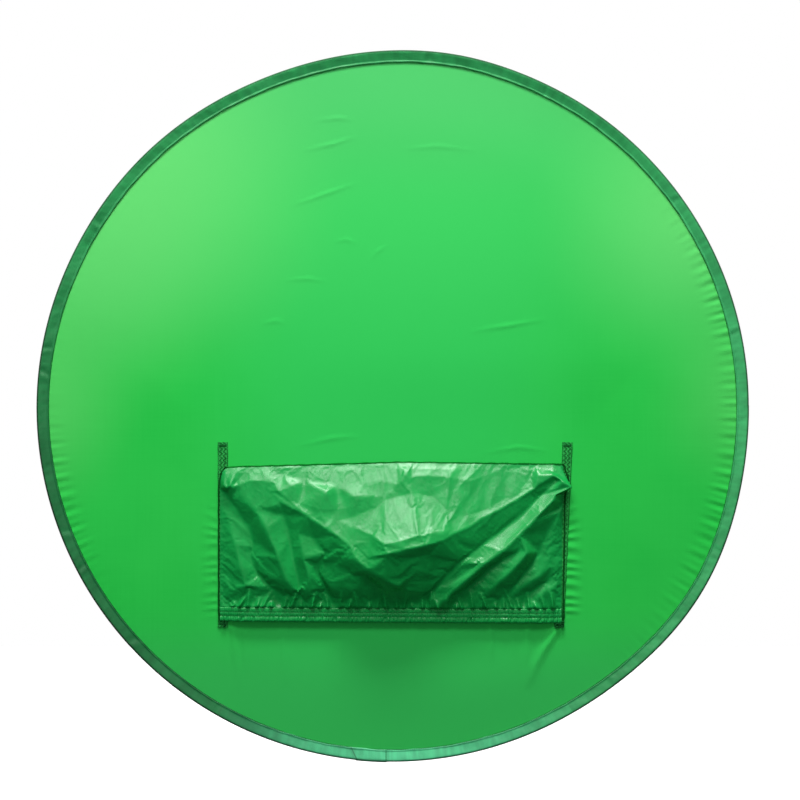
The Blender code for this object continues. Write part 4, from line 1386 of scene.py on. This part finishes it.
def make_studio():
    """A pale floor at the foot of the chair that the screen hangs on, under soft overhead light."""
    floor_z = -CHAIR_BACK_HEIGHT
    points = np.array([
        (-FLOOR_REACH, -FLOOR_REACH, floor_z), (FLOOR_REACH, -FLOOR_REACH, floor_z),
        (FLOOR_REACH, FLOOR_BEHIND, floor_z), (-FLOOR_REACH, FLOOR_BEHIND, floor_z),
    ])
    floor = mesh_object("floor", points, np.array([[0, 1, 2, 3]]))
    material = bpy.data.materials.new("floor")
    material.use_nodes = True
    shader = material.node_tree.nodes["Principled BSDF"]
    shader.inputs["Base Color"].default_value = (0.93, 0.93, 0.93, 1.0)
    shader.inputs["Roughness"].default_value = 0.9
    floor.data.materials.append(material)
    floor.visible_diffuse = floor.visible_glossy = False
    fill = area_light("front_fill", (0.0, -4.6, -0.2), (0.0, 0.0, 0.0), (4.0, 2.4), FILL_POWER)
    fill.visible_glossy = False
    area_light("key", (-0.45, -2.3, 2.7), (0.0, 0.0, 0.12), (1.7, 0.9), KEY_POWER)
    area_light("overhead", (0.05, -1.0, 3.1), (0.0, -0.05, 0.0), (1.4, 0.45), TOP_POWER)
    area_light("back_fill", (0.0, 4.5, 3.4), (0.0, 4.5, 0.0), (9.0, 5.0), BACK_POWER)
    studio_world()


def studio_world():
    """Soft light from overhead and little from the front, against a plain white surround."""
    world = bpy.data.worlds.new("studio")
    bpy.context.scene.world = world
    world.use_nodes = True
    tree = world.node_tree
    place = tree.nodes.new("ShaderNodeTexCoord")
    parts = tree.nodes.new("ShaderNodeSeparateXYZ")
    tree.links.new(place.outputs["Generated"], parts.inputs[0])
    ramp = tree.nodes.new("ShaderNodeMapRange")
    ramp.interpolation_type = "SMOOTHSTEP"
    tree.links.new(parts.outputs["Z"], ramp.inputs[0])
    for socket, number in zip(ramp.inputs[1:5], (-0.1, 0.7, WALLS, CEILING)):
        socket.default_value = number
    surround = tree.nodes.new("ShaderNodeLightPath")
    strength = tree.nodes.new("ShaderNodeMix")
    tree.links.new(surround.outputs["Is Camera Ray"], strength.inputs["Factor"])
    tree.links.new(ramp.outputs[0], strength.inputs["A"])
    strength.inputs["B"].default_value = 1.0
    background = tree.nodes["Background"]
    background.inputs["Color"].default_value = (1.0, 1.0, 1.0, 1.0)
    tree.links.new(strength.outputs["Result"], background.inputs["Strength"])


def make_camera():
    """Square on to the rear, from chest height, as the object is shown."""
    data = bpy.data.cameras.new("camera")
    data.lens = 85.0
    data.sensor_width = 36.0
    item = bpy.data.objects.new("camera", data)
    item.location = CAMERA_PLACE
    item.rotation_euler = (math.pi / 2, 0.0, 0.0)
    bpy.context.scene.collection.objects.link(item)
    bpy.context.scene.camera = item
    bpy.context.scene.view_settings.view_transform = "Standard"


def build():
    make_camera()
    make_studio()
    screen = screen_cloth()
    satin = rim_satin()
    taffeta = pocket_taffeta()
    tape = webbing("tape_webbing", (0.016, 0.300, 0.050), (0.060, 0.640, 0.130))
    elastic = webbing("hem_elastic_weave", (0.030, 0.220, 0.080), (0.070, 0.320, 0.130))
    dark_elastic = webbing("elastic_end_weave", (0.002, 0.060, 0.010), (0.010, 0.160, 0.036))
    # The thread's dark green is partly its own colour and partly painted shade along the seams and the
    # rim's lip.
    sewing = thread("sewing_thread", (0.001, 0.085, 0.012), (0.004, 0.170, 0.028))
    # The seams' folded edges: cloth darker than the taffeta, painted shade along the top and side seams.
    edge = webbing("folded_edge_painted_shade", (0.0008, 0.160, 0.012), (0.003, 0.230, 0.026))
    rolled_edge_shade = webbing("rolled_edge_painted_shade", (0.0005, 0.050, 0.005), (0.002, 0.120, 0.014))
    steel = spring_steel()
    make_panel(screen)
    make_rim_stitches(sewing)
    make_binding(satin)
    cut_end = 1.5 * math.pi * RIM_RADIUS + LAP_START + 0.0022
    make_join(rim_satin("lap_satin", (cut_end, LAP_SLANT)), sewing)
    make_hoop(steel)
    for node in ["hoop_splice_plate"] + [f"hoop_rivet_{number}" for number in range(1, 5)]:
        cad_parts[node].data.materials.clear()
        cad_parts[node].data.materials.append(steel)
    make_tacks(sewing)
    make_tapes(tape, sewing)
    make_seams(edge, rolled_edge_shade, sewing)
    make_pocket(taffeta)
    make_hem(taffeta, elastic, sewing)
    make_elastic_ends(dark_elastic)


build()
